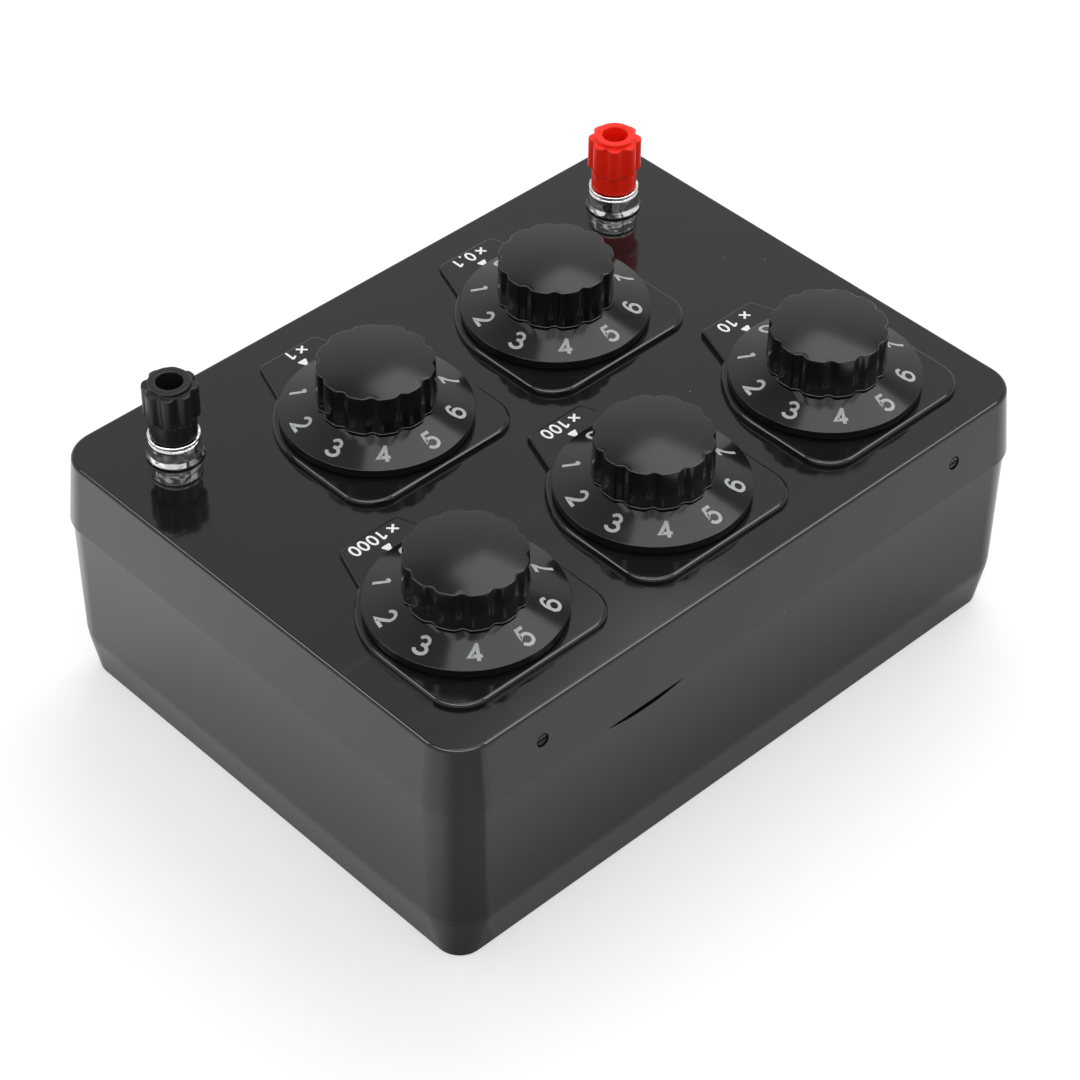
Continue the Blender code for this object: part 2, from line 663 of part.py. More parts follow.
def make_shaft(decade, spot):
    """Plain round shaft from the knob's bore down through the wiper's hub."""
    top = KNOB_SPIGOT_Z + KNOB_BORE_LENGTH - FIT
    place(f"{decade}_shaft", rod(SHAFT_RADIUS, WIPER_UNDER_Z - SHAFT_TAIL, top), steel(), spot)


def make_bush(decade, spot):
    """Threaded panel bush with its nut on the pad and a spigot below that carries the board."""
    nut_z = PAD_TOP_Z + FIT
    rings = [circle(radius, height, SMALL_STEPS) for radius, height in
             ((BORE_RADIUS, BUSH_END_Z), (BUSH_SPIGOT_RADIUS, BUSH_END_Z),
              (BUSH_SPIGOT_RADIUS, BUSH_SHOULDER_Z), (BUSH_BARREL_RADIUS, BUSH_SHOULDER_Z),
              (BUSH_BARREL_RADIUS, BUSH_BARREL_Z), (BUSH_THREAD_RADIUS, BUSH_BARREL_Z),
              (BUSH_THREAD_RADIUS, nut_z))]
    rings += [hexagon(BUSH_NUT_ACROSS_FLATS, nut_z, SMALL_STEPS),
              hexagon(BUSH_NUT_ACROSS_FLATS, BUSH_TOP_Z, SMALL_STEPS),
              circle(BORE_RADIUS, BUSH_TOP_Z, SMALL_STEPS)]
    place(f"{decade}_bush", loft(rings, closed=True), brass(), spot)


def step_angle(step):
    """Angle of a contact: contact 0 lies towards the front, and the numbers go round clockwise."""
    return FRONT_ANGLE - 2 * math.pi * step / STEP_COUNT


def make_contact_board(decade, spot, lug_angles):
    """Insulating disc with ten contact studs round it and two soldering lugs at its edge."""
    bore = BUSH_SPIGOT_RADIUS + FIT
    disc = [circle(radius, height, BOARD_STEPS) for radius, height in
            ((bore, BOARD_UNDER_Z), (BOARD_RADIUS, BOARD_UNDER_Z), (BOARD_RADIUS, BOARD_TOP_Z),
             (bore, BOARD_TOP_Z))]
    board = place(f"{decade}_contact_board", loft(disc, closed=True), board_laminate(), spot)
    seat = BOARD_THICKNESS / 4
    fixed = []
    for step in range(STEP_COUNT):
        centre = on_circle(STUD_CIRCLE_RADIUS, step_angle(step))
        fixed.append(rod(STUD_HEAD_RADIUS, STUD_UNDER_Z, BOARD_UNDER_Z + seat, centre, PIN_STEPS))
        tail_top = BOARD_TOP_Z + STUD_TAIL_LENGTH
        fixed.append(rod(STUD_TAIL_RADIUS, BOARD_TOP_Z - seat, tail_top, centre, TAIL_STEPS))
    for angle in lug_angles:
        lug = box((LUG_INNER, -LUG_WIDTH / 2, BOARD_TOP_Z - seat), (LUG_OUTER, LUG_WIDTH / 2, LUG_TOP_Z))
        fixed.append(moved(lug, (0.0, 0.0), angle))
    apply_shape(board, "UNION", merge(fixed))


def make_resistor_chain(decade, spot):
    """Nine resistors end to end on their own wires, round the tails of the ten studs."""
    centres = [Vector((*on_circle(STUD_CIRCLE_RADIUS, step_angle(step)), CHAIN_Z))
               for step in range(STEP_COUNT)]
    stations = [(centres[0], RESISTOR_WIRE_RADIUS)]
    for first, second in zip(centres, centres[1:]):
        middle = (first + second) / 2
        half = (second - first) * RESISTOR_LENGTH_SHARE / 2
        stations += [(middle - half, RESISTOR_WIRE_RADIUS), (middle - half, RESISTOR_RADIUS),
                     (middle + half, RESISTOR_RADIUS), (middle + half, RESISTOR_WIRE_RADIUS)]
    stations.append((centres[-1], RESISTOR_WIRE_RADIUS))
    rings = []
    for i, (point, radius) in enumerate(stations):
        along = stations[min(i + 2, len(stations) - 1)][0] - stations[max(i - 2, 0)][0]
        rings.append(ring_across(point, along, radius, RESISTOR_SIDES))
    place(f"{decade}_resistor_chain", loft(rings), resistor_lacquer(), spot)


def make_wiper(decade, spot):
    """Hub with the pointed detent wheel at its foot and the arm whose nose runs on the studs."""
    points = STEP_COUNT * 2

    def wheel_radius(angle):
        dip = max(0.0, math.cos(STEP_COUNT * (angle - REAR_ANGLE)))
        return DETENT_WHEEL_RADIUS - DETENT_NOTCH_DEPTH * dip

    wheel_top = WIPER_UNDER_Z + DETENT_WHEEL_THICKNESS
    rings = [circle(BORE_RADIUS, WIPER_UNDER_Z, points), shaped_ring(wheel_radius, WIPER_UNDER_Z, points),
             shaped_ring(wheel_radius, wheel_top, points), circle(WIPER_HUB_RADIUS, wheel_top, points),
             circle(WIPER_HUB_RADIUS, WIPER_TOP_Z, points), circle(BORE_RADIUS, WIPER_TOP_Z, points)]
    wiper = place(f"{decade}_wiper", loft(rings, closed=True), brass(), spot)
    arm_top = STUD_UNDER_Z - FIT - WIPER_NOSE_HEIGHT
    arm = box(((BORE_RADIUS + WIPER_HUB_RADIUS) / 2, -WIPER_ARM_WIDTH / 2, arm_top - WIPER_ARM_THICKNESS),
              (WIPER_ARM_REACH, WIPER_ARM_WIDTH / 2, arm_top))
    apply_shape(wiper, "UNION", moved(arm, (0.0, 0.0), step_angle(0)))
    nose_foot = arm_top - WIPER_ARM_THICKNESS / 2
    nose_spot = on_circle(STUD_CIRCLE_RADIUS, step_angle(0))
    nose = rod(WIPER_NOSE_RADIUS, nose_foot, STUD_UNDER_Z - FIT, nose_spot, PIN_STEPS)
    apply_shape(wiper, "UNION", nose)


def make_detent_spring(decade, spot):
    """Leaf whose nib clears the points of the wheel, hung from the board by its leg."""
    nib_y = DETENT_WHEEL_RADIUS + FIT + SPRING_THICKNESS
    shoulder_y = nib_y + SPRING_NIB_RISE
    anchor = on_circle(BOARD_RADIUS - SPRING_ANCHOR_FROM_BOARD_EDGE, SPRING_ANCHOR_ANGLE)
    path = [anchor, (-SPRING_NIB_HALF, shoulder_y), (0.0, nib_y), (SPRING_NIB_HALF, shoulder_y),
            (SPRING_NIB_HALF + SPRING_TAIL_LENGTH, shoulder_y + SPRING_TAIL_RISE)]
    low = WIPER_UNDER_Z + (DETENT_WHEEL_THICKNESS - SPRING_HEIGHT) / 2
    outline = ribbon(path, SPRING_THICKNESS)
    leaf = loft([[(x, y, z) for x, y in outline] for z in (low, low + SPRING_HEIGHT)])
    spring = place(f"{decade}_detent_spring", leaf, spring_steel(), spot)
    leg = box((-SPRING_LEG_WIDTH / 2, -SPRING_LEG_THICKNESS / 2, low),
              (SPRING_LEG_WIDTH / 2, SPRING_LEG_THICKNESS / 2, BOARD_UNDER_Z - FIT))
    lean = math.atan2(shoulder_y - anchor[1], -SPRING_NIB_HALF - anchor[0])
    apply_shape(spring, "UNION", moved(leg, anchor, lean))


def ribbon(path, thickness):
    """Outline of a strip of even thickness along a path."""
    left, right = [], []
    for i, here in enumerate(path):
        before = Vector(here) - Vector(path[max(i - 1, 0)])
        after = Vector(path[min(i + 1, len(path) - 1)]) - Vector(here)
        runs = [run.normalized() for run in (before, after) if run.length > 0]
        along = (runs[0] + runs[-1]).normalized()
        across = Vector((-along.y, along.x)) * thickness / 2 / along.dot(runs[0])
        left.append((here[0] + across.x, here[1] + across.y))
        right.append((here[0] - across.x, here[1] - across.y))
    return left + right[::-1]


def make_post_stud(colour, spot):
    """Threaded stud with its chromed collar, and the socket for a plug in its upper end."""
    flange_top = POST_FLANGE_Z + POST_FLANGE_HEIGHT
    tube_top = COLLAR_TOP_Z + POST_TUBE_HEIGHT
    profile = [(POST_THREAD_RADIUS, CASE_HEIGHT - POST_TAIL), (POST_THREAD_RADIUS, POST_FLANGE_Z),
               (POST_FLANGE_RADIUS, POST_FLANGE_Z), (POST_FLANGE_RADIUS, flange_top),
               (POST_COLLAR_BASE_RADIUS, flange_top), (POST_COLLAR_TOP_RADIUS, COLLAR_TOP_Z),
               (POST_THREAD_RADIUS, COLLAR_TOP_Z), (POST_THREAD_RADIUS, tube_top),
               (POST_SOCKET_RADIUS, tube_top), (POST_SOCKET_RADIUS, tube_top - POST_SOCKET_DEPTH)]
    place(f"{colour}_stud", loft([circle(r, z, POST_STEPS) for r, z in profile]), chrome(), spot)


def make_clamp_washer(colour, spot):
    """Loose washer that the cap presses on a wire or a spade."""
    top = WASHER_Z + WASHER_THICKNESS
    profile = [(POST_BORE_RADIUS, WASHER_Z), (WASHER_RADIUS, WASHER_Z), (WASHER_RADIUS, top),
               (POST_BORE_RADIUS, top)]
    washer = loft([circle(r, z, POST_STEPS) for r, z in profile], closed=True)
    place(f"{colour}_clamp_washer", washer, chrome(), spot)


def make_cap(colour, spot, finish):
    """Screw cap: plain neck, lobed grip and a round boss about the opening for the plug."""
    steps = CAP_LOBES * STEPS_PER_FLUTE
    top = CAP_UNDER_Z + CAP_HEIGHT
    shoulder = top - CAP_SHOULDER_BELOW_TOP
    grip = CAP_UNDER_Z + CAP_NECK_HEIGHT
    rings = [circle(POST_BORE_RADIUS, CAP_UNDER_Z, steps), circle(CAP_NECK_RADIUS, CAP_UNDER_Z, steps),
             circle(CAP_NECK_RADIUS, grip, steps),
             fluted(CAP_LOBE_RADIUS, grip + CAP_LOBE_RAMP, CAP_LOBE_DEPTH, CAP_LOBES, steps),
             fluted(CAP_LOBE_RADIUS, shoulder, CAP_LOBE_DEPTH, CAP_LOBES, steps),
             circle(CAP_BOSS_RADIUS, shoulder, steps), circle(CAP_BOSS_RADIUS, top, steps),
             circle(POST_BORE_RADIUS, top, steps)]
    place(f"{colour}_cap", loft(rings, closed=True), finish, spot)


def make_post_nut(colour, spot):
    """Hexagonal nut that holds the post under the panel."""
    top = POST_NUT_Z + POST_NUT_THICKNESS
    rings = [circle(POST_BORE_RADIUS, POST_NUT_Z, SMALL_STEPS),
             hexagon(POST_NUT_ACROSS_FLATS, POST_NUT_Z, SMALL_STEPS),
             hexagon(POST_NUT_ACROSS_FLATS, top, SMALL_STEPS), circle(POST_BORE_RADIUS, top, SMALL_STEPS)]
    place(f"{colour}_nut", loft(rings, closed=True), brass(), spot)


def ring_across(point, along, radius, sides):
    """Ring round a point, square to a direction that is never upright."""
    across = Vector((-along.y, along.x, 0.0)).normalized()
    rise = along.cross(across).normalized()
    angles = [2 * math.pi * k / sides for k in range(sides)]
    return [point + across * radius * math.cos(a) + rise * radius * math.sin(a) for a in angles]


def tube(points, radius, sides):
    """Round tube along a path, with flat ends."""
    last = len(points) - 1
    rings = []
    for i, here in enumerate(points):
        along = points[min(i + 1, last)] - points[max(i - 1, 0)]
        rings.append(ring_across(here, along, radius, sides))
    return loft(rings)


def lead_path(start, end):
    """Arch between two ends, its height eased from one end to the other."""
    points = []
    for i in range(LEAD_POINTS):
        share = i / (LEAD_POINTS - 1)
        ease = share * share * (3 - 2 * share)
        point = start.lerp(end, share)
        point.z = start.z + (end.z - start.z) * ease + LEAD_ARCH * math.sin(math.pi * share)
        points.append(point)
    return points


def heading(start, end):
    """Angle of the line from one spot to another."""
    return math.atan2(end[1] - start[1], end[0] - start[0])


def lead_end(spot, angle):
    """Place on a lug where a lead starts."""
    return Vector((spot[0] + LEAD_END_FROM_AXIS * math.cos(angle),
                   spot[1] + LEAD_END_FROM_AXIS * math.sin(angle), LEAD_Z))


def make_series_lead(first, second):
    """Lead from the lug of one decade to the lug of the next."""
    angle = heading(DECADES[first], DECADES[second])
    path = lead_path(lead_end(DECADES[first], angle), lead_end(DECADES[second], angle + math.pi))
    sleeve = lead_sleeve("yellow_lead_sleeve", (0.75, 0.55, 0.05))
    place(f"lead_{first}_to_{second}", tube(path, LEAD_RADIUS, LEAD_SIDES), sleeve)


def make_terminal_lead(colour, decade, sleeve):
    """Ring tag under the post's nut with the lead that runs to the nearest decade."""
    post, spot = POSTS[colour], DECADES[decade]
    tag = loft([circle(r, z, SMALL_STEPS) for r, z in
                ((POST_BORE_RADIUS, TAG_Z), (TAG_RADIUS, TAG_Z), (TAG_RADIUS, TAG_Z + TAG_THICKNESS),
                 (POST_BORE_RADIUS, TAG_Z + TAG_THICKNESS))], closed=True)
    obj = place(f"{colour}_lead", tag, sleeve, post)
    angle = heading(post, spot)
    start = Vector((LEAD_TAG_START * math.cos(angle), LEAD_TAG_START * math.sin(angle),
                    TAG_Z + TAG_THICKNESS / 2))
    end = lead_end(spot, angle + math.pi) - Vector((post[0], post[1], 0.0))
    path = lead_path(start, end)
    for i, point in enumerate(path):
        point.z -= LEAD_ARCH * math.sin(math.pi * i / (LEAD_POINTS - 1))
    apply_shape(obj, "UNION", tube(path, LEAD_RADIUS, LEAD_SIDES))


def make_decade(decade, spot, lug_angles):
    """Everything that belongs to one decade switch."""
    make_dial(decade, spot)
    make_knob(decade, spot)
    make_shaft(decade, spot)
    make_bush(decade, spot)
    make_contact_board(decade, spot, lug_angles)
    make_resistor_chain(decade, spot)
    make_wiper(decade, spot)
    make_detent_spring(decade, spot)


def make_post(colour, spot, finish):
    """Everything that belongs to one binding post."""
    make_post_stud(colour, spot)
    make_clamp_washer(colour, spot)
    make_cap(colour, spot, finish)
    make_post_nut(colour, spot)


def main():
    clear_scene()
    make_top_cover()
    make_bottom_case()
    make_cover_screws()
    chain = [POSTS["red"], *DECADES.values(), POSTS["black"]]
    for place_in_chain, (decade, spot) in enumerate(DECADES.items(), start=1):
        lugs = [heading(spot, chain[place_in_chain - 1]), heading(spot, chain[place_in_chain + 1])]
        make_decade(decade, spot, lugs)
    make_post("red", POSTS["red"], red_plastic())
    make_post("black", POSTS["black"], black_cap_plastic())
    names = list(DECADES)
    for first, second in zip(names, names[1:]):
        make_series_lead(first, second)
    make_terminal_lead("red", names[0], lead_sleeve("red_lead_sleeve", (0.60, 0.03, 0.02)))
    make_terminal_lead("black", names[-1], lead_sleeve("black_lead_sleeve", (0.02, 0.02, 0.02)))


main()
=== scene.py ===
"""Looks of the five-decade resistance box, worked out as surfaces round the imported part.

Every length is in metres in the frame of the part: +Z up, the base's middle at the origin, and the side
where the labels read upright towards -Y. Each operator below makes one piece or one group of like pieces.
"""
import math

import bmesh
import bpy
import numpy as np
from bpy.props import FloatProperty, FloatVectorProperty, IntProperty, PointerProperty
from mathutils import Matrix, Vector


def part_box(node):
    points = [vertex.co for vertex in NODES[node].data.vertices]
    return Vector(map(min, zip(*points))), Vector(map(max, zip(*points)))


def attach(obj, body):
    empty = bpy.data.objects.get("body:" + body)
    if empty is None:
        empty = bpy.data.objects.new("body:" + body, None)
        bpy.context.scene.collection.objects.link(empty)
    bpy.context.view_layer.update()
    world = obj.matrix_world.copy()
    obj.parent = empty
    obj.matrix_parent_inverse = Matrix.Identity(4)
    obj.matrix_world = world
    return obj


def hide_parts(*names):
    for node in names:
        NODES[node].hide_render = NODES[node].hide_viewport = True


bl_info = {
    "name": "Decade resistance box",
    "version": (1, 0, 0),
    "blender": (4, 5, 0),
    "location": "View3D > Sidebar > Decade box",
    "description": "Detailed case, knobs, dials, posts and finishes for a five-decade resistance box",
    "category": "Object",
}

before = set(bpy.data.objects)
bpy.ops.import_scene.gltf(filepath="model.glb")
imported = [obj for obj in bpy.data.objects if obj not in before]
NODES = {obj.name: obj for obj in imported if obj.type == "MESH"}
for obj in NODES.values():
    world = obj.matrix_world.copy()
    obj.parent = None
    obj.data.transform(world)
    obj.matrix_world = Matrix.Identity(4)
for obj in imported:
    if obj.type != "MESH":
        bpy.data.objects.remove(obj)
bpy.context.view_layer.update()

# Each decade's label, its distance in front of the dial's axis, and where its figures stand along X. They
# follow the photograph, where they aren't evenly spaced.
DECADES = {
    "x0_1": ("×0.1", 0.03115, (-0.00308, 0.00062, 0.00271, 0.00490)),
    "x1": ("×1", 0.03175, (-0.00288, 0.00074)),
    "x10": ("×10", 0.0308, (-0.00361, 0.00111, 0.00396)),
    "x100": ("×100", 0.03115, (-0.00420, -0.00069, 0.00203, 0.00487)),
    "x1000": ("×1000", 0.03115, (-0.00524, -0.00172, 0.00102, 0.00382, 0.00649)),
}
FIGURE_WIDTHS = {"×": 0.0027, "0": 0.0024, "1": 0.0036, ".": 0.0024}
POSTS = ("red", "black")

SCREW_BORE = 0.0013
POST_BORE = 0.0033
# How far a body that cuts or joins another one reaches past its face
OVERLAP = 0.001
# How much higher each further stroke of a figure lies, so that no two strokes share a face
STROKE_STEP = 0.000003
# Least corner radius of the inner walls
LEAST_CORNER = 0.0008


def middle(node):
    """Place of a node's axis: the middle of its box, seen from above."""
    low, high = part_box(node)
    return np.array([(low.x + high.x) / 2, (low.y + high.y) / 2])


def bottom(node):
    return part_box(node)[0].z


def top(node):
    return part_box(node)[1].z


DIAL_SPOTS = {name: middle(f"{name}_dial") for name in DECADES}
POST_SPOTS = {name: middle(f"{name}_stud") for name in POSTS}
SKIRT_HALF = np.array([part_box("top_cover")[1].x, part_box("top_cover")[1].y])
PAD_TOP = top("top_cover")
PARTING = bottom("top_cover")
DIAL_RADIUS = (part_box("x1_dial")[1].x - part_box("x1_dial")[0].x) / 2


# Curves and surfaces

def around(count):
    """Evenly spaced angles of one full turn, without the last one."""
    return np.arange(count) * (2 * np.pi / count)


def filleted(corners, radii, steps=5, closed=False):
    """Line through the corners with each of them rounded.

    A point of the arc is its centre plus the radius times a unit vector swung evenly from one contact
    point to the other. The centre lies on the corner's bisector, radius / sin(half angle) away.
    """
    corners = np.asarray(corners, float)
    radii = np.broadcast_to(radii, len(corners))
    points = []
    for i, here in enumerate(corners):
        if radii[i] == 0 or (not closed and i in (0, len(corners) - 1)):
            points.append(here[None])
            continue
        before, after = corners[i - 1] - here, corners[(i + 1) % len(corners)] - here
        spans = np.linalg.norm(before), np.linalg.norm(after)
        before, after = before / spans[0], after / spans[1]
        half = np.arccos(np.clip(before @ after, -1, 1)) / 2
        reach = min(radii[i] / np.tan(half), 0.48 * spans[0], 0.48 * spans[1])
        centre = here + (before + after) / np.linalg.norm(before + after) * reach / np.cos(half)
        sweep = np.pi - 2 * half
        share = np.linspace(0, 1, steps + 1)[:, None]
        swung = np.sin((1 - share) * sweep) * (here + before * reach - centre)
        swung = swung + np.sin(share * sweep) * (here + after * reach - centre)
        points.append(centre + swung / np.sin(sweep))
    return np.concatenate(points)


def rounded_rectangle(half_x, half_y, radius, steps=12):
    """Rows of points round rectangles with round corners, one row for each entry of the arrays.

    x = ±(half_x - radius) + radius·cos(a) and y = ±(half_y - radius) + radius·sin(a), with a running
    through each quarter in turn.
    """
    quarter = np.repeat(np.arange(4), steps + 1)
    angle = np.pi / 2 * (quarter + np.tile(np.linspace(0, 1, steps + 1), 4))
    sign_x = np.where((quarter == 0) | (quarter == 3), 1.0, -1.0)
    sign_y = np.where(quarter < 2, 1.0, -1.0)
    half_x, half_y, radius = (np.asarray(v, float)[:, None] for v in (half_x, half_y, radius))
    return np.stack([sign_x * (half_x - radius) + radius * np.cos(angle),
                     sign_y * (half_y - radius) + radius * np.sin(angle)], axis=-1)


def inset(outline, distance):
    """Closed outline that runs anticlockwise, each point moved inwards along its mitre."""
    ahead = np.roll(outline, -1, axis=0) - outline
    ahead = ahead / np.linalg.norm(ahead, axis=1, keepdims=True)
    inward = np.stack([-ahead[:, 1], ahead[:, 0]], axis=1)
    mitre = inward + np.roll(inward, 1, axis=0)
    mitre = mitre / np.linalg.norm(mitre, axis=1, keepdims=True)
    return outline + mitre * (distance / np.sum(mitre * inward, axis=1))[:, None]


def quarter_round(radius, steps):
    """Inset and drop of the points of a quarter round, from a flank to the face above it."""
    angle = np.linspace(0, np.pi / 2, steps + 1)
    return radius * (1 - np.cos(angle)), radius * (1 - np.sin(angle))


class Shell:
    """Points and faces of one or more closed surfaces."""

    def __init__(self):
        self.points = []
        self.faces = []
        self.count = 0

    def grid(self, points, wrap_rows=False, caps=()):
        """Adds a surface of two parameters from its points, an array of rows × columns × 3.

        A face joins each point to its right, lower right and lower neighbours, and each row closes on
        itself. A cap closes the first or last row, with one flat face or with a fan of triangles about the
        row's middle.
        """
        rows, columns = points.shape[:2]
        row = np.arange(rows if wrap_rows else rows - 1)[:, None]
        column = np.arange(columns)[None, :]
        next_row, next_column = (row + 1) % rows, (column + 1) % columns
        quads = np.stack([row * columns + column, row * columns + next_column,
                          next_row * columns + next_column, next_row * columns + column], axis=-1)
        self.faces += (quads.reshape(-1, 4) + self.count).tolist()
        self.points.append(points.reshape(-1, 3))
        first = self.count
        self.count += rows * columns
        for end, kind in zip((0, rows - 1), caps):
            ring = first + end * columns + np.arange(columns)
            if kind == "flat":
                self.faces.append(ring.tolist())
            if kind == "fan":
                self.points.append(points[end].mean(axis=0)[None])
                pole = np.full(columns, self.count)
                self.faces += np.stack([ring, np.roll(ring, -1), pole], axis=1).tolist()
                self.count += 1
        return self

    def turned(self, profile, spot, columns, dips=None, caps=()):
        """Adds a surface of revolution about an upright axis over the spot.

        x = spot_x + (r(u) - dip(u, v))·cos(v), y = spot_y + (r(u) - dip(u, v))·sin(v), z = z(u).
        Without caps the profile closes on itself.
        """
        profile = np.asarray(profile, float)
        angle = around(columns)[None, :]
        radius = np.repeat(profile[:, :1], columns, axis=1)
        height = np.repeat(profile[:, 1:2], columns, axis=1)
        if dips is not None:
            radius = radius - dips
        points = [spot[0] + radius * np.cos(angle), spot[1] + radius * np.sin(angle), height]
        return self.grid(np.stack(points, axis=-1), wrap_rows=not caps, caps=caps)

    def mesh(self, name):
        data = bpy.data.meshes.new(name)
        data.from_pydata(np.concatenate(self.points), [], self.faces)
        made = bmesh.new()
        made.from_mesh(data)
        bmesh.ops.recalc_face_normals(made, faces=made.faces[:])
        made.to_mesh(data)
        made.free()
        return data


def add_object(name, shell):
    made = bpy.data.objects.new(name, shell.mesh(name))
    bpy.context.scene.collection.objects.link(made)
    return made


def cut_and_join(piece, steps):
    """Joins or cuts the piece with each shell in turn, and keeps the result as its mesh."""
    tools = []
    for number, (operation, shell) in enumerate(steps):
        tool = add_object(f"{piece.name}_tool_{number}", shell)
        boolean = piece.modifiers.new(operation.title(), "BOOLEAN")
        boolean.operation = operation
        boolean.solver = "EXACT"
        boolean.object = tool
        tools.append(tool)
    graph = bpy.context.evaluated_depsgraph_get()
    result = bpy.data.meshes.new_from_object(piece.evaluated_get(graph))
    piece.modifiers.clear()
    piece.data = result
    for tool in tools:
        bpy.data.objects.remove(tool)


def finish_piece(piece, body, finish, replaced=(), crease=32.0):
    """Shades the piece, gives it its finish and sets what it rides on and stands for."""
    piece.data.shade_smooth()
    piece.data.set_sharp_from_angle(angle=math.radians(crease))
    piece.data.materials.clear()
    piece.data.materials.append(finish)
    weighted = piece.modifiers.new("Weighted normals", "WEIGHTED_NORMAL")
    weighted.keep_sharp = True
    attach(piece, body)
    if replaced:
        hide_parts(*replaced)


# Shader values and materials

class Value:
    """A socket that takes part in arithmetic: each sign adds the Math node that works it out."""

    def __init__(self, tree, socket):
        self.tree = tree
        self.socket = socket

    def math(self, operation, *terms, clamp=False):
        node = self.tree.nodes.new("ShaderNodeMath")
        node.operation = operation
        node.use_clamp = clamp
        for entry, term in zip(node.inputs, terms):
            if isinstance(term, Value):
                self.tree.links.new(term.socket, entry)
            else:
                entry.default_value = term
        return Value(self.tree, node.outputs[0])

    def __add__(self, other):
        return self.math("ADD", self, other)

    def __radd__(self, other):
        return self.math("ADD", other, self)

    def __sub__(self, other):
        return self.math("SUBTRACT", self, other)

    def __rsub__(self, other):
        return self.math("SUBTRACT", other, self)

    def __mul__(self, other):
        return self.math("MULTIPLY", self, other)

    def __rmul__(self, other):
        return self.math("MULTIPLY", other, self)

    def __abs__(self):
        return self.math("ABSOLUTE", self)

    def power(self, exponent):
        return self.math("POWER", self, exponent)

    def sine(self):
        return self.math("SINE", self)

    def arc_tangent(self, across):
        """Angle of a vector whose upright part is this value."""
        return self.math("ARCTAN2", self, across)

    def at_least(self, other):
        """The greater of the two."""
        return self.math("MAXIMUM", self, other)

    def clamped(self):
        return self.math("ADD", self, 0.0, clamp=True)

    def between(self, low, high):
        """0 below low, 1 above high, and eased between them."""
        node = self.tree.nodes.new("ShaderNodeMapRange")
        node.interpolation_type = "SMOOTHSTEP"
        self.tree.links.new(self.socket, node.inputs["Value"])
        node.inputs["From Min"].default_value = low
        node.inputs["From Max"].default_value = high
        return Value(self.tree, node.outputs["Result"])

    def near(self, middle, inner, outer):
        """1 as far as inner from the middle, 0 beyond outer, and eased between them."""
        return 1.0 - abs(self - middle).between(inner, outer)


class Graph:
    """The nodes of a material, a lamp or the world, added one by one."""

    def __init__(self, owner, shader, output):
        owner.use_nodes = True
        self.tree = owner.node_tree
        self.tree.nodes.clear()
        self.shader = self.tree.nodes.new(shader)
        target = self.tree.nodes.new(output)
        self.tree.links.new(self.shader.outputs[0], target.inputs["Surface"])

    def node(self, kind, settings=None, inputs=None, output=0):
        """Adds a node of any kind: its settings first, then the values or links of its sockets."""
        made = self.tree.nodes.new(kind)
        for key, value in (settings or {}).items():
            setattr(made, key, value)
        for key, value in (inputs or {}).items():
            if isinstance(value, Value):
                self.tree.links.new(value.socket, made.inputs[key])
            else:
                made.inputs[key].default_value = value
        return Value(self.tree, made.outputs[output])

    def split(self, vector):
        """The three parts of a vector."""
        made = self.node("ShaderNodeSeparateXYZ", inputs={0: vector}).socket.node
        return [Value(self.tree, part) for part in made.outputs]

    def rays(self, *kinds):
        """1 for rays of these kinds and 0 for the rest."""
        shares = [self.node("ShaderNodeLightPath", output=f"Is {kind} Ray") for kind in kinds]
        total = shares[0]
        for share in shares[1:]:
            total = total + share
        return total.clamped()


class Finish(Graph):
    """A material that is built up node by node."""

    def __init__(self, name):
        self.material = bpy.data.materials.new(name)
        super().__init__(self.material, "ShaderNodeBsdfPrincipled", "ShaderNodeOutputMaterial")
        self.place = self.node("ShaderNodeTexCoord", output="Object")

    def noise(self, scale, detail=2.0, roughness=0.5, stretch=(1.0, 1.0, 1.0), shift=(0.0, 0.0, 0.0)):
        """Cloudy value from 0 to 1 with features of about 1 / scale metres."""
        place = self.place
        if tuple(stretch) != (1.0, 1.0, 1.0) or tuple(shift) != (0.0, 0.0, 0.0):
            moves = {"Vector": place, "Scale": stretch, "Location": shift}
            place = self.node("ShaderNodeMapping", inputs=moves)
        return self.node("ShaderNodeTexNoise",
                         inputs={"Vector": place, "Scale": scale, "Detail": detail, "Roughness": roughness})

    def specks(self, scale, size, share, shift=(0.0, 0.0, 0.0)):
        """1 in round specks of a few of the cells of a Voronoi pattern, and 0 elsewhere."""
        place = self.node("ShaderNodeMapping", inputs={"Vector": self.place, "Location": shift})
        cells = self.tree.nodes.new("ShaderNodeTexVoronoi")
        self.tree.links.new(place.socket, cells.inputs["Vector"])
        cells.inputs["Scale"].default_value = scale
        near = 1.0 - Value(self.tree, cells.outputs["Distance"]).between(size * 0.6, size)
        cell = self.node("ShaderNodeSeparateColor", inputs={0: Value(self.tree, cells.outputs["Color"])})
        return near * cell.math("LESS_THAN", cell, share)

    def mix(self, share, first, second):
        """Colour from the first to the second by a share from 0 to 1."""
        return self.node("ShaderNodeMix", {"data_type": "RGBA"}, {0: share, 6: first, 7: second}, output=2)

    def bump(self, height, distance, below=None):
        inputs = {"Height": height, "Distance": distance, "Strength": 1.0}
        if below is not None:
            inputs["Normal"] = below
        return self.node("ShaderNodeBump", inputs=inputs)

    def axis_place(self, spot):
        """Distance from an upright axis, angle round it and height."""
        x, y, z = self.split(self.place)
        x, y = x - float(spot[0]), y - float(spot[1])
        radius = (x * x + y * y).power(0.5)
        return radius, y.arc_tangent(x), z

    def done(self, **sockets):
        """Sets the shader's sockets and returns the material."""
        for key, value in sockets.items():
            entry = self.shader.inputs[key.replace("_", " ").title().replace("Ior", "IOR")]
            if isinstance(value, Value):
                self.tree.links.new(value.socket, entry)
            else:
                entry.default_value = value
        return self.material


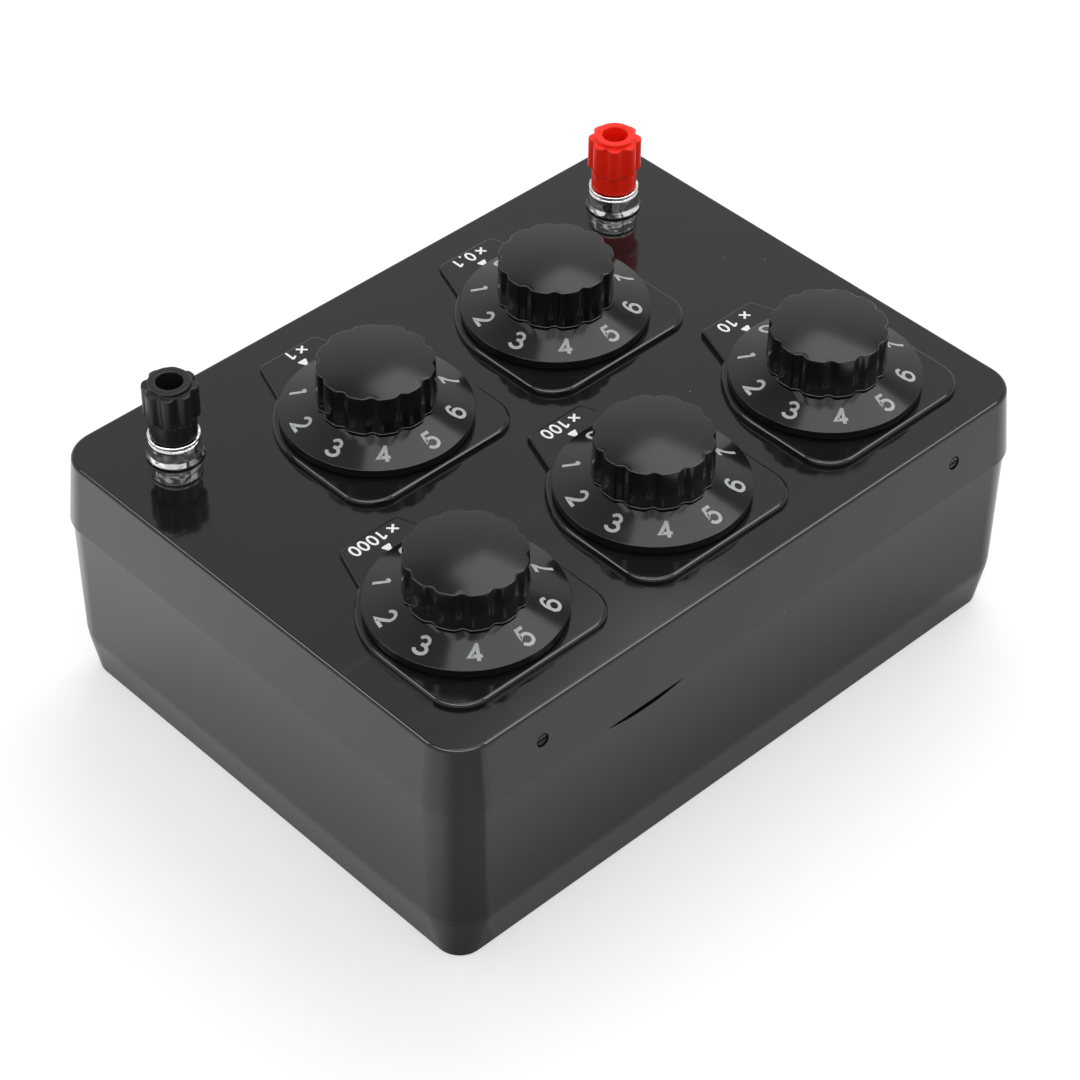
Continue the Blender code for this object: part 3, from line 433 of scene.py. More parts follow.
def rgba(colour):
    return (*colour, 1.0)


def scaled(colour, factor):
    return tuple(min(1.0, part * factor) for part in colour) + (1.0,)


def moulded_plastic(name, colour, gloss, wave, grain, dust, seed=0.0, wear=1.0, mirror=0.5):
    """Hard moulded plastic: faint clouds of colour, smears in the gloss, hair scratches, grain and dust."""
    made = Finish(name)
    shift = (seed, seed * 0.7, seed * 0.3)
    clouds = made.noise(38.0, 3.0, shift=shift)
    smears = made.noise(22.0, 4.0, 0.6, stretch=(1.0, 2.6, 1.0), shift=shift).between(0.45, 0.75)
    hairs = made.noise(260.0, 2.0, 0.4, stretch=(0.06, 1.0, 0.4), shift=shift).between(0.66, 0.72)
    hairs = hairs * made.noise(60.0, 1.0, shift=shift).between(0.5, 0.62) * wear
    motes = made.specks(420.0, 0.10, dust, shift)
    tint = made.mix(clouds, scaled(colour, 0.85), scaled(colour, 1.2))
    tint = made.mix(motes * 0.6, tint, (0.30, 0.30, 0.29, 1.0))
    rough = gloss + 0.04 * clouds + 0.07 * wear * smears + 0.08 * hairs + 0.35 * motes
    swell = made.bump(made.noise(34.0, 1.0, shift=shift), wave)
    fine = made.bump(made.noise(1500.0, 2.0, shift=shift), grain, below=swell)
    scored = made.bump(hairs * -1.0 + motes * 2.0, 0.000004, below=fine)
    return made.done(base_color=tint, roughness=rough, normal=scored, ior=1.46, specular_ior_level=mirror)


def turned_metal(name, colour, gloss, streak, spot=(0.0, 0.0), tarnish=0.0, dent=0.0):
    """Machined metal: rings left by the tool, fine pits, shallow dents and a cloudy film on it."""
    made = Finish(name)
    radius, _, height = made.axis_place(spot)
    rings = made.node("ShaderNodeTexNoise", {"noise_dimensions": "1D"},
                      {"W": radius * 5200.0 + height * 5200.0, "Scale": 1.0, "Detail": 3.0})
    film = made.noise(160.0, 3.0, 0.6).between(0.35, 0.8)
    pits = made.specks(1400.0, 0.16, 0.12)
    tint = made.mix(film * 0.5 + tarnish * rings, rgba(colour), scaled(colour, 0.62))
    tint = made.mix(pits * 0.5, tint, scaled(colour, 0.3))
    rough = gloss + 0.10 * film + streak * rings + 0.2 * pits
    grooves = made.bump(rings, 0.000006 * (1 + 10 * streak))
    pitted = made.bump(pits * -1.0 + made.noise(900.0, 2.0) * 0.5, 0.000008, below=grooves)
    dented = made.bump(made.noise(300.0, 1.0), dent, below=pitted) if dent else pitted
    return made.done(base_color=tint, roughness=rough, metallic=1.0, normal=dented)


def printed_paint(name, colour, wear):
    """Screen-printed paint: slightly uneven cover with tiny pinholes and worn spots."""
    made = Finish(name)
    cover = made.noise(900.0, 3.0, 0.6)
    worn = made.noise(500.0, 4.0, 0.7).between(0.62, 0.80) * wear
    tint = made.mix(cover * 0.5, rgba(colour), scaled(colour, 0.86))
    tint = made.mix(worn, tint, scaled(colour, 0.25))
    grain = made.bump(cover, 0.000008)
    return made.done(base_color=tint, roughness=0.42 + 0.2 * cover, normal=grain, ior=1.48)


def laminate_board(name, board, metal):
    """Paper laminate with a fine weave; the studs under it, and their tails and the lugs on it, are metal."""
    low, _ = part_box("x1_contact_board")
    face_low, face_high = low.z + 0.00141, low.z + 0.00302
    made = Finish(name)
    x, y, z = made.split(made.place)
    weave = (x * 5200.0).sine() * (y * 5200.0).sine()
    clouds = made.noise(120.0, 4.0, 0.6)
    tint = made.mix(clouds, scaled(board, 0.75), scaled(board, 1.3))
    tint = made.mix(weave.between(0.3, 0.9) * 0.25, tint, scaled(board, 1.8))
    bare = (z.math("LESS_THAN", z, face_low) + z.math("GREATER_THAN", z, face_high)).clamped()
    shine = made.mix(made.noise(700.0, 3.0), rgba(metal), scaled(metal, 0.7))
    tint = made.mix(bare, tint, shine)
    rough = 0.5 + 0.1 * clouds - 0.2 * bare
    return made.done(base_color=tint, roughness=rough, metallic=bare,
                     normal=made.bump(weave * 0.5 + clouds, 0.00002))


def lead_sleeve(name, colour):
    """Soft sleeving: a dull sheen, tiny ripples along it and grime that gathers in them."""
    made = Finish(name)
    ripple = made.noise(1100.0, 2.0)
    grime = made.noise(240.0, 4.0, 0.65).between(0.5, 0.8)
    tint = made.mix(ripple, scaled(colour, 0.85), scaled(colour, 1.12))
    tint = made.mix(grime * 0.5, tint, scaled(colour, 0.45))
    return made.done(base_color=tint, roughness=0.45 + 0.2 * grime, normal=made.bump(ripple, 0.00003))


def banded_lacquer(name, colour):
    """Lacquered resistor bodies: a glossy film, drips in its thickness and darker bands along it."""
    made = Finish(name)
    bands = made.noise(420.0, 0.0).between(0.46, 0.50) * (1.0 - made.noise(420.0, 0.0).between(0.54, 0.58))
    drips = made.noise(300.0, 3.0)
    tint = made.mix(drips, scaled(colour, 0.8), scaled(colour, 1.2))
    tint = made.mix(bands * 0.8, tint, (0.03, 0.015, 0.01, 1.0))
    return made.done(base_color=tint, roughness=0.2 + 0.15 * drips, normal=made.bump(drips, 0.00005))


FINISHES = {}


def finish(name, maker, *values, **named):
    """The material of that name, made the first time that it is asked for."""
    if name not in FINISHES:
        FINISHES[name] = maker(name, *values, **named)
    return FINISHES[name]


def case_gloss():
    looks = bpy.context.scene.box_finishes
    return finish("glossy_black_case_plastic", moulded_plastic, tuple(looks.case_colour), looks.case_gloss,
                  wave=0.00006, grain=0.0000012, dust=0.010)


def knob_gloss():
    looks = bpy.context.scene.box_finishes
    return finish("black_knob_plastic", moulded_plastic, tuple(looks.knob_colour), looks.knob_gloss,
                  wave=0.00003, grain=0.0000012, dust=0.006, seed=3.1, wear=0.15)


def dial_gloss():
    looks = bpy.context.scene.box_finishes
    return finish("black_dial_plastic", moulded_plastic, tuple(looks.knob_colour), looks.dial_gloss,
                  wave=0.00003, grain=0.000001, dust=0.008, seed=5.7, wear=0.5)


def cap_plastic(colour):
    looks = bpy.context.scene.box_finishes
    tint = tuple(looks.red_cap_colour) if colour == "red" else tuple(looks.black_cap_colour)
    return finish(f"{colour}_cap_plastic", moulded_plastic, tint, looks.cap_gloss,
                  wave=0.00004, grain=0.000006, dust=0.004, seed=1.3, mirror=0.3)


def chrome(colour):
    looks = bpy.context.scene.box_finishes
    return finish(f"chromed_{colour}_post", turned_metal, tuple(looks.chrome_colour), looks.chrome_gloss,
                  streak=0.04, spot=tuple(POST_SPOTS[colour]), dent=0.0008)


def white_paint(name, key):
    looks = bpy.context.scene.box_finishes
    return finish(name, printed_paint, tuple(getattr(looks, key)), wear=0.35)


# Settings of the pieces

def length(name, description, default, high=1.0):
    return FloatProperty(name=name, description=description, default=default, min=0.0, max=high,
                         subtype="DISTANCE", unit="LENGTH", precision=5)


def amount(name, description, default):
    return FloatProperty(name=name, description=description, default=default, min=0.0)


def count(name, description, default):
    return IntProperty(name=name, description=description, default=default, min=3, max=60)


def colour(name, description, default):
    return FloatVectorProperty(name=name, description=description, default=default, min=0.0, max=1.0,
                               subtype="COLOR", size=3)


def factor(name, description, default):
    return FloatProperty(name=name, description=description, default=default, min=0.0, max=1.0,
                         subtype="FACTOR")


class BoxCaseSettings(bpy.types.PropertyGroup):
    """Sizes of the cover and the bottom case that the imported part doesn't give"""
    panel_height: length("Panel height", "Height of the flat panel above the base", 0.070)
    skirt_flare: length("Skirt flare", "How far the skirt's foot stands outside the panel", 0.00185)
    panel_corner: length("Panel corner", "Corner radius of the panel", 0.0099)
    parting_corner: length("Parting corner", "Corner radius at the parting line", 0.0117)
    panel_edge: length("Panel edge", "Round between the panel and the skirt", 0.0009)
    wall: length("Wall", "Thickness of the skirt and of the case's wall", 0.0024)
    panel_thickness: length("Panel thickness", "Thickness of the panel", 0.003)
    crease_height: length("Crease height", "Height at which the case draws in to its base", 0.0138)
    crease_inset: length("Crease inset", "Inset of the crease from the skirt's foot", 0.00107)
    case_step: length("Case step", "Inset of the case below the skirt's foot", 0.0005)
    base_inset: length("Base inset", "Inset of the base from the skirt's foot", 0.004)
    base_corner: length("Base corner", "Corner radius of the base", 0.0063)
    base_edge: length("Base edge", "Round at the base's edge", 0.0008)
    floor: length("Floor", "Thickness of the case's floor", 0.0026)
    gap: length("Gap", "Clearance between neighbouring pieces", 0.0003)


class BoxPadSettings(bpy.types.PropertyGroup):
    """Sizes of the raised pads round the dials"""
    side_margin: length("Side margin", "Width of the pad beyond the dial at each side", 0.00165)
    rear_margin: length("Rear margin", "Depth of the pad beyond the dial at the rear", 0.0014)
    corner: length("Rear corner", "Radius of the two rear corners", 0.009)
    tab_reach: length("Tab reach", "How far the label's tab stands out beyond the dial", 0.0102)
    tab_root: length("Tab root", "Half the tab's width where it leaves the round front", 0.0134)
    tab_tip: length("Tab tip", "Half the tab's width at its end", 0.009)
    tab_corner: length("Tab corner", "Radius of the tab's corners", 0.0016)
    edge: length("Edge", "Round at the pad's upper edge", 0.0009)


class BoxKnobSettings(bpy.types.PropertyGroup):
    """Sizes of the fluted knobs"""
    base_radius: length("Base radius", "Radius over the lobes at the foot's lip", 0.0150)
    top_radius: length("Top radius", "Radius over the lobes at the top", 0.0146)
    flutes: count("Flutes", "Number of grooves round the knob", 12)
    flute_depth: length("Flute depth", "Depth of a groove", 0.0008)
    flute_width: length("Flute width", "Width of a groove between its lips", 0.0042)
    crown: length("Crown", "Rise of the top from its edge to its middle", 0.0011)
    edge: length("Edge", "Round between the flank and the top", 0.0003)
    foot_flare: length("Foot flare", "Hollow round where the flank turns out to its lip", 0.00022)
    foot_lip: length("Foot lip", "Height of the lip's upright edge", 0.0001)


class BoxDialSettings(bpy.types.PropertyGroup):
    """Sizes of the dials and of the numbers on them"""
    rim_height: length("Rim height", "Height of the rim's upright band", 0.0021)
    rim_wall: length("Rim wall", "Thickness of the rim", 0.0021)
    rim_round: length("Rim round", "Round at the rim's upper edge", 0.00015)
    shell: length("Shell", "Thickness of the dial round its bore", 0.002)
    crest_radius: length("Crest radius", "Radius at which the cone meets the flat under the knob", 0.0142)
    digit_circle: length("Digit circle", "Radius of the circle through the numbers' middles", 0.0196)
    digit_height: length("Digit height", "Height of a number", 0.0051)
    digit_width: length("Digit width", "Width of a number", 0.0036)
    digit_stroke: length("Digit stroke", "Width of the numbers' strokes", 0.00082)


class BoxLabelSettings(bpy.types.PropertyGroup):
    """Sizes of the range labels and index marks on the pads"""
    label_height: length("Label height", "Height of a label's figures", 0.0038)
    label_stroke: length("Label stroke", "Width of a label's strokes", 0.0006)
    mark_gap: length("Mark gap", "Distance from a label's middle line to its index mark's", 0.00475)
    mark_width: length("Mark width", "Width of an index mark", 0.0029)
    mark_height: length("Mark height", "Height of an index mark", 0.0030)
    film: length("Film", "Thickness of the printed paint", 0.00003)


class BoxPostSettings(bpy.types.PropertyGroup):
    """Sizes of the binding posts and their caps"""
    thread_radius: length("Thread radius", "Radius of the stud's tube", 0.003)
    foot_radius: length("Foot radius", "Radius of the collar's flared foot", 0.0072)
    foot_edge: length("Foot edge", "Height of the foot's upright edge", 0.0004)
    foot_height: length("Foot height", "Height of the collar's flared foot", 0.0016)
    collar_foot: length("Collar foot", "Radius of the collar above its flared foot", 0.0067)
    collar_top: length("Collar top", "Radius of the collar at its top", 0.0064)
    collar_height: length("Collar height", "Height of the collar with its foot", 0.0051)
    socket_radius: length("Socket radius", "Radius of the plug's socket", 0.00205)
    socket_depth: length("Socket depth", "Depth of the plug's socket", 0.0185)
    neck_radius: length("Neck radius", "Radius of the cap's plain neck", 0.0059)
    neck_height: length("Neck height", "Height of the cap's plain neck", 0.0049)
    lobe_radius: length("Lobe radius", "Radius over the cap's lobes", 0.0069)
    lobe_depth: length("Lobe depth", "Depth of the grooves between the lobes", 0.0012)
    lobes: count("Lobes", "Number of lobes round a cap", 8)
    shoulder: length("Shoulder", "Height of the boss above the lobes", 0.0011)
    boss_radius: length("Boss radius", "Radius of the round boss on top", 0.0053)


class BoxFinishSettings(bpy.types.PropertyGroup):
    """Colours and gloss of the finishes"""
    case_colour: colour("Case", "Black of the case", (0.0080, 0.0080, 0.0084))
    case_gloss: factor("Case gloss", "Least roughness of the case", 0.045)
    knob_colour: colour("Knob", "Black of the knobs and dials", (0.0055, 0.0055, 0.0058))
    knob_gloss: factor("Knob gloss", "Least roughness of the knobs", 0.13)
    dial_gloss: factor("Dial gloss", "Least roughness of the dials", 0.10)
    red_cap_colour: colour("Red cap", "Red of the cap", (0.96, 0.018, 0.005))
    black_cap_colour: colour("Black cap", "Black of the cap", (0.012, 0.012, 0.012))
    cap_gloss: factor("Cap gloss", "Least roughness of the caps", 0.28)
    chrome_colour: colour("Chrome", "Colour of the chromed brass", (0.80, 0.80, 0.79))
    chrome_gloss: factor("Chrome gloss", "Least roughness of the chrome", 0.09)
    label_colour: colour("Labels", "White of the labels", (0.86, 0.86, 0.86))
    digit_colour: colour("Numbers", "Grey of the numbers on the dials", (0.42, 0.44, 0.44))


class BoxStageSettings(bpy.types.PropertyGroup):
    """Floor, light and camera"""
    key_power: amount("Key power", "Watts of the soft box; its mirrored look is part of the room", 16.0)
    key_side: length("Key side", "Side of the square soft box", 1.2, high=5.0)
    key_distance: length("Key distance", "Distance of the soft box from the box's middle", 2.0, high=10.0)
    key_direction: FloatVectorProperty(name="Key direction", description="Where the soft box stands",
                                       default=(-0.455, -0.28, 0.84), size=3, subtype="DIRECTION")
    key_mirrored: amount("Mirrored key", "Brightness of the soft box in glossy surfaces", 2.4)
    strip_mirrored: amount("Mirrored strips", "Brightness of the strip lamps in glossy edges", 6.0)
    world_diffuse: amount("Room light", "Light that the room gives to dull surfaces", 0.82)
    horizon: amount("Horizon", "Brightness of the walls that glossy surfaces mirror", 0.87)
    ceiling_loss: amount("Ceiling loss", "How much darker than the walls the mirrored ceiling is", 0.39)
    # Painted light and shade in the floor's mirrored glow: dimmer beside the box and off its near corner as
    # painted shade, brighter at its +X side as painted light
    near_glow: factor("Near glow", "Mirrored glow of the floor beside the box", 0.10)
    far_glow: factor("Far glow", "Mirrored glow of the floor away from the box", 0.55)
    side_glow: factor("Side glow", "Further mirrored glow of the floor at the box's +X side", 0.27)
    corner_loss: factor("Corner loss", "How much darker the floor mirrors off the near corner", 0.75)
    floor_colour: factor("Floor", "Grey of the floor", 0.50)
    floor_glow: factor("Floor glow", "What the floor adds to its own look against the shade on it", 0.54)
    focal_length: amount("Focal length", "Focal length in millimetres on a 36 mm sensor", 108.529)


# The case

def skirt_share(height):
    """0 at the panel and 1 at the skirt's foot."""
    size = bpy.context.scene.box_case
    return (size.panel_height - height) / (size.panel_height - PARTING)


def skirt_face(height):
    """Distance of the skirt's long outer faces from the middle, at a height."""
    return SKIRT_HALF[1] - bpy.context.scene.box_case.skirt_flare * (1 - skirt_share(height))


def skirt_rows(heights, wall_insets):
    """Rounded rectangles on the skirt: its outer face grows evenly from the panel down to its foot."""
    size = bpy.context.scene.box_case
    share = skirt_share(heights)
    radius = size.panel_corner + (size.parting_corner - size.panel_corner) * share - wall_insets
    half = SKIRT_HALF[:, None] - size.skirt_flare * (1 - share) - wall_insets
    return rounded_rectangle(half[0], half[1], np.maximum(radius, LEAST_CORNER))


def case_rows(heights, wall_insets):
    """Rounded rectangles on the bottom case: nearly upright to the crease, then drawn in to the base."""
    size = bpy.context.scene.box_case
    rim = PARTING - size.gap
    upper = (rim - heights) / (rim - size.crease_height)
    lower = (size.crease_height - heights) / size.crease_height
    above = heights >= size.crease_height
    crease_radius = size.parting_corner - size.crease_inset
    step = np.where(above, size.case_step + (size.crease_inset - size.case_step) * upper,
                    size.crease_inset + (size.base_inset - size.crease_inset) * lower)
    radius = np.where(above, size.parting_corner + (crease_radius - size.parting_corner) * upper,
                      crease_radius + (size.base_corner - crease_radius) * lower)
    half = SKIRT_HALF[:, None] - step - wall_insets
    return rounded_rectangle(half[0], half[1], np.maximum(radius - wall_insets, LEAST_CORNER))


def stacked(rows, heights):
    """Rows of points in the plane, each raised to its height."""
    raised = np.broadcast_to(np.asarray(heights, float)[:, None], rows.shape[:2])
    return np.concatenate([rows, raised[..., None]], axis=-1)


def pad_outline():
    """Outline of a pad about its dial's axis: round rear corners, a round front and the label's tab."""
    size = bpy.context.scene.box_pad
    side = DIAL_RADIUS + size.side_margin
    rear = DIAL_RADIUS + size.rear_margin
    reach = DIAL_RADIUS + size.tab_reach
    root = -math.acos(size.tab_root / side)
    front = np.linspace(root, 0.0, 22)
    round_front = side * np.stack([np.cos(front), np.sin(front)], axis=1)
    tab = filleted([(0.0, -reach), (size.tab_tip, -reach), round_front[0]], size.tab_corner, 6)[1:-1]
    crown = filleted([round_front[-1], (side, rear), (0.0, rear)], size.corner, 16)[1:-1]
    right = np.concatenate([tab, round_front, crown])
    return np.concatenate([right, right[::-1] * (-1.0, 1.0)])


def upright_bar(shell, radius, low, high, spot):
    shell.turned([(radius, low), (radius, high)], spot, columns=48, caps=("flat", "flat"))


def side_bars(profile, height, places):
    """Turned shapes along Y at both long sides, from radii and distances from the middle."""
    shell = Shell()
    profile = np.asarray(profile, float)
    columns = 28
    angle = around(columns)[None, :]
    for side in (-1.0, 1.0):
        for place in places:
            points = [place + profile[:, :1] * np.cos(angle),
                      np.repeat(profile[:, 1:2] * side, columns, axis=1),
                      height + profile[:, :1] * np.sin(angle)]
            shell.grid(np.stack(points, axis=-1), caps=("flat", "flat"))
    return shell


def set_upright(outline, depths):
    """Rows of an outline in X and Z, one at each place along Y."""
    rows = [np.stack([outline[:, 0], np.full(len(outline), depth), outline[:, 1]], axis=1)
            for depth in depths]
    return np.stack(rows)


def screw_axis():
    """Places of the side screws along X and their height."""
    low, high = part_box("cover_screw_rear_right")
    place = (low.x + high.x) / 2
    return (-place, place), (low.z + high.z) / 2


class BOX_OT_top_cover(bpy.types.Operator):
    """Makes the moulded cover: panel, skirt and five pads, bored for the bushes, posts and screws"""
    bl_idname = "box.top_cover"
    bl_label = "Top cover"

    def execute(self, context):
        size, pads = context.scene.box_case, context.scene.box_pad
        ceiling = size.panel_height - size.panel_thickness
        chamfer, foot_round = 0.0008, 0.00025
        inward, drop = quarter_round(size.panel_edge, 7)
        foot_in, foot_drop = quarter_round(foot_round, 3)
        inside_heights = [ceiling, ceiling - chamfer, PARTING]
        inside_insets = [size.wall + chamfer, size.wall, size.wall]
        heights = np.concatenate([inside_heights, PARTING + foot_drop[::-1], size.panel_height - drop])
        insets = np.concatenate([inside_insets, foot_in[::-1], inward])
        rows = stacked(skirt_rows(heights, insets), heights)
        cover = add_object("moulded_top_cover", Shell().grid(rows, caps=("flat", "flat")))
        inward, drop = quarter_round(pads.edge, 7)
        outline = pad_outline()
        pad_rows = np.stack([inset(outline, step) for step in (0.0, *inward)])
        pad_rows = stacked(pad_rows, [size.panel_height - OVERLAP, *(PAD_TOP - drop)])
        raised, bores = Shell(), Shell()
        bush_bore = 0.0049
        for spot in DIAL_SPOTS.values():
            raised.grid(pad_rows + (*spot, 0.0), caps=("flat", "flat"))
            upright_bar(bores, bush_bore, ceiling - OVERLAP, PAD_TOP + OVERLAP, spot)
        stud_bore = context.scene.box_post.thread_radius + size.gap
        for spot in POST_SPOTS.values():
            upright_bar(bores, stud_bore, ceiling - OVERLAP, PAD_TOP + OVERLAP, spot)
        places, height = screw_axis()
        face = skirt_face(height)
        head_radius, head_floor = 0.0018, face - 0.0015
        pocket = [(SCREW_BORE, face - size.wall - OVERLAP), (SCREW_BORE, head_floor),
                  (head_radius, head_floor), (head_radius, face + OVERLAP)]
        cut_and_join(cover, [("UNION", raised), ("DIFFERENCE", bores),
                             ("DIFFERENCE", side_bars(pocket, height, places))])
        finish_piece(cover, "case", case_gloss(), ["top_cover"])
        return {"FINISHED"}


class BOX_OT_bottom_case(bpy.types.Operator):
    """Makes the bottom case: drawn-in walls, the lip inside the cover, the screw tabs and the notch"""
    bl_idname = "box.bottom_case"
    bl_label = "Bottom case"

    def execute(self, context):
        size = context.scene.box_case
        rim = PARTING - size.gap
        lip_top, lip_foot = PARTING + 0.005, PARTING - 0.006
        rows = np.concatenate([self.outer(size, rim), self.lip(size, rim, lip_top, lip_foot),
                               self.well(size, lip_foot)])
        case = add_object("moulded_bottom_case", Shell().grid(rows, caps=("flat", "flat")))
        places, height = screw_axis()
        tab_half, tab_round, tab_wall = 0.0045, 0.0015, 0.0036
        tab_low, tab_high = lip_top - 0.004, size.panel_height - 0.005
        outside = skirt_face(tab_high) - size.wall - size.gap
        inside = outside - tab_wall
        corners = [(-tab_half, tab_low), (tab_half, tab_low), (tab_half, tab_high), (-tab_half, tab_high)]
        outline = filleted(corners, [0.0, 0.0, tab_round, tab_round], 5, closed=True)
        tabs = Shell()
        for side in (-1.0, 1.0):
            for place in places:
                rows = set_upright(outline + (place, 0.0), (side * outside, side * inside))
                tabs.grid(rows, caps=("flat", "flat"))
        bores = side_bars([(SCREW_BORE, inside - OVERLAP), (SCREW_BORE, outside + OVERLAP)], height, places)
        cut_and_join(case, [("UNION", tabs), ("DIFFERENCE", bores), ("DIFFERENCE", self.notch(size, rim))])
        finish_piece(case, "case", case_gloss(), ["bottom_case"])
        return {"FINISHED"}

    @staticmethod
    def outer(size, rim):
        """Rows of the outside, from the base's edge over the softened crease to the rim."""
        rim_round = 0.0002
        inward, drop = quarter_round(size.base_edge, 6)
        rim_in, rim_drop = quarter_round(rim_round, 3)
        crease = size.crease_height + np.array([-0.0012, -0.0004, 0.0004, 0.0012])
        crease_insets = [0.0, 0.00008, 0.00008, 0.0]
        heights = np.concatenate([drop[::-1], crease, rim - rim_drop])
        insets = np.concatenate([inward[::-1], crease_insets, rim_in])
        return stacked(case_rows(heights, insets), heights)

    @staticmethod
    def lip(size, rim, lip_top, lip_foot):
        """Rows of the lip: up its outside, over its top and down its inside."""
        wall, chamfer = 0.0018, 0.0003
        outside = size.wall + size.gap
        inside = outside + wall
        heights = [rim, lip_top - chamfer, lip_top, lip_top, lip_foot]
        insets = np.array([outside, outside, outside + chamfer, inside, inside])
        return stacked(skirt_rows(np.full(len(heights), lip_top), insets), heights)

    @staticmethod
    def well(size, lip_foot):
        """Rows of the inside, from the slope under the lip down to the floor."""
        slope, chamfer = 0.0026, 0.001
        heights = np.array([lip_foot - slope, size.crease_height, size.floor + chamfer, size.floor])
        insets = size.wall + np.array([0.0, 0.0, 0.0, chamfer])
        return stacked(case_rows(heights, insets), heights)

    @staticmethod
    def notch(size, rim):
        """Scoop for a screwdriver's blade: z = centre - radius·cos(a) along the edge, straight inwards."""
        place, wide, deep, far = 0.0366, 0.0135, 0.0018, 0.0015
        radius = (wide ** 2 + deep ** 2) / (2 * deep)
        spread = math.asin((wide + OVERLAP) / radius)
        angle = np.linspace(-spread, spread, 33)
        scoop = np.stack([place + radius * np.sin(angle),
                          rim - deep + radius - radius * np.cos(angle)], axis=1)
        over = rim + OVERLAP
        scoop = np.concatenate([scoop, [(scoop[-1, 0], over), (scoop[0, 0], over)]])
        face = SKIRT_HALF[1] - size.case_step
        return Shell().grid(set_upright(scoop, (face - far, face + OVERLAP)), caps=("flat", "flat"))


# Knobs and dials

def groove_dips(angle, count, width, depth, radius):
    """Depth of evenly spaced round grooves at each angle.

    dip = depth·(1 + cos(2π·s / width)) / 2 inside a groove, where s is the arc from its middle.
    """
    pitch = 2 * np.pi / count
    arc = (np.mod(angle, pitch) - pitch / 2) * radius
    inside = np.abs(arc) < width / 2
    return np.where(inside, depth * (1 + np.cos(2 * np.pi * arc / width)) / 2, 0.0)


class BOX_OT_knobs(bpy.types.Operator):
    """Makes the five fluted knobs with their spigots and shaft bores"""
    bl_idname = "box.knobs"
    bl_label = "Knobs"

    def execute(self, context):
        size = context.scene.box_knob
        gap = context.scene.box_case.gap
        angle = around(size.flutes * 24)
        grooves = groove_dips(angle, size.flutes, size.flute_width, size.flute_depth, size.top_radius)
        bore, spigot, land = 0.0033, 0.0067, 0.001
        underside = size.base_radius - size.flute_depth - land
        turn = np.linspace(0, np.pi / 2, 5)
        flare_in, flare_up = size.foot_flare * np.sin(turn), size.foot_flare * (1 - np.cos(turn))
        inward, drop = quarter_round(size.edge, 6)
        share = np.array([0.93, 0.86, 0.78, 0.68, 0.56, 0.42, 0.28, 0.14])
        for name, spot in DIAL_SPOTS.items():
            low, high = bottom(f"{name}_knob"), top(f"{name}_knob")
            foot = top(f"{name}_dial") + gap
            bore_top = top(f"{name}_shaft") + gap
            shoulder = high - size.crown
            corners = [(0.0, bore_top), (bore, bore_top), (bore, low), (spigot, low), (spigot, foot),
                       (underside, foot)]
            inner = filleted(corners, [0, 0.0003, 0.0004, 0.0004, 0.0, 0], 4)[1:]
            ring_r = np.concatenate([[size.base_radius], size.base_radius - flare_in, [size.top_radius]])
            ring_z = np.concatenate([[foot], foot + size.foot_lip + flare_up, [shoulder - size.edge]])
            edge_r = size.top_radius - inward[1:]
            edge_z = shoulder - drop[1:]
            radius = np.concatenate([inner[:, 0], ring_r, edge_r, edge_r[-1] * share])
            height = np.concatenate([inner[:, 1], ring_z, edge_z, share * 0 + shoulder])
            depth = np.concatenate([inner[:, 0] * 0, ring_r * 0 + 1, edge_r * 0 + 1, share])
            real = radius[:, None] - depth[:, None] * grooves[None, :]
            lift = np.zeros_like(real)
            first = len(inner) + len(ring_r)
            lift[first:] = size.crown * (1 - (np.minimum(real[first:] / edge_r[-1], 1.0)) ** 2)
            points = np.stack([spot[0] + real * np.cos(angle), spot[1] + real * np.sin(angle),
                               height[:, None] + lift], axis=-1)
            knob = add_object(f"{name}_fluted_knob", Shell().grid(points, caps=("fan", "fan")))
            finish_piece(knob, f"{name}_selector", knob_gloss(), [f"{name}_knob"],
                         crease=50.0)
        return {"FINISHED"}


def dial_cone(radius, name):
    """Height of the dial's cone at a radius: straight from the rim's upper edge up to the crest."""
    size = bpy.context.scene.box_dial
    rim = bottom(f"{name}_dial") + size.rim_height
    share = (DIAL_RADIUS - radius) / (DIAL_RADIUS - size.crest_radius)
    return rim + (top(f"{name}_dial") - rim) * np.clip(share, 0.0, 1.0)


class BOX_OT_dials(bpy.types.Operator):
    """Makes the five conical dials that carry the numbers"""
    bl_idname = "box.dials"
    bl_label = "Dials"

    def execute(self, context):
        size = context.scene.box_dial
        bore, inner = 0.007, DIAL_RADIUS - size.rim_wall
        radii = [0.0002, 0.0003, 0.0008, 0.0002, 0.0002, size.rim_round, 0.0012]
        for name, spot in DIAL_SPOTS.items():
            low, high = bottom(f"{name}_dial"), top(f"{name}_dial")
            corners = [(bore, high), (bore, high - size.shell), (inner, low + size.rim_height / 2),
                       (inner, low), (DIAL_RADIUS, low), (DIAL_RADIUS, low + size.rim_height),
                       (size.crest_radius, high)]
            profile = filleted(corners, radii, 6, closed=True)
            dial = add_object(f"{name}_numbered_dial", Shell().turned(profile, spot, columns=160))
            finish_piece(dial, f"{name}_selector", dial_gloss(), [f"{name}_dial"])
        return {"FINISHED"}


# Figures as strokes of even width

def bow(centre, radii, start, stop, steps=18):
    """Points of an ellipse's arc, its angles in degrees."""
    angle = np.radians(np.linspace(start, stop, steps))
    return np.stack([centre[0] + radii[0] * np.cos(angle), centre[1] + radii[1] * np.sin(angle)], axis=1)


def line(*corners, steps=6):
    """Straight runs through the corners, each divided evenly."""
    corners = np.array(corners, float)
    share = np.linspace(0, 1, steps, endpoint=False)[:, None]
    runs = [first + (last - first) * share for first, last in zip(corners, corners[1:])]
    return np.concatenate([*runs, corners[-1:]])


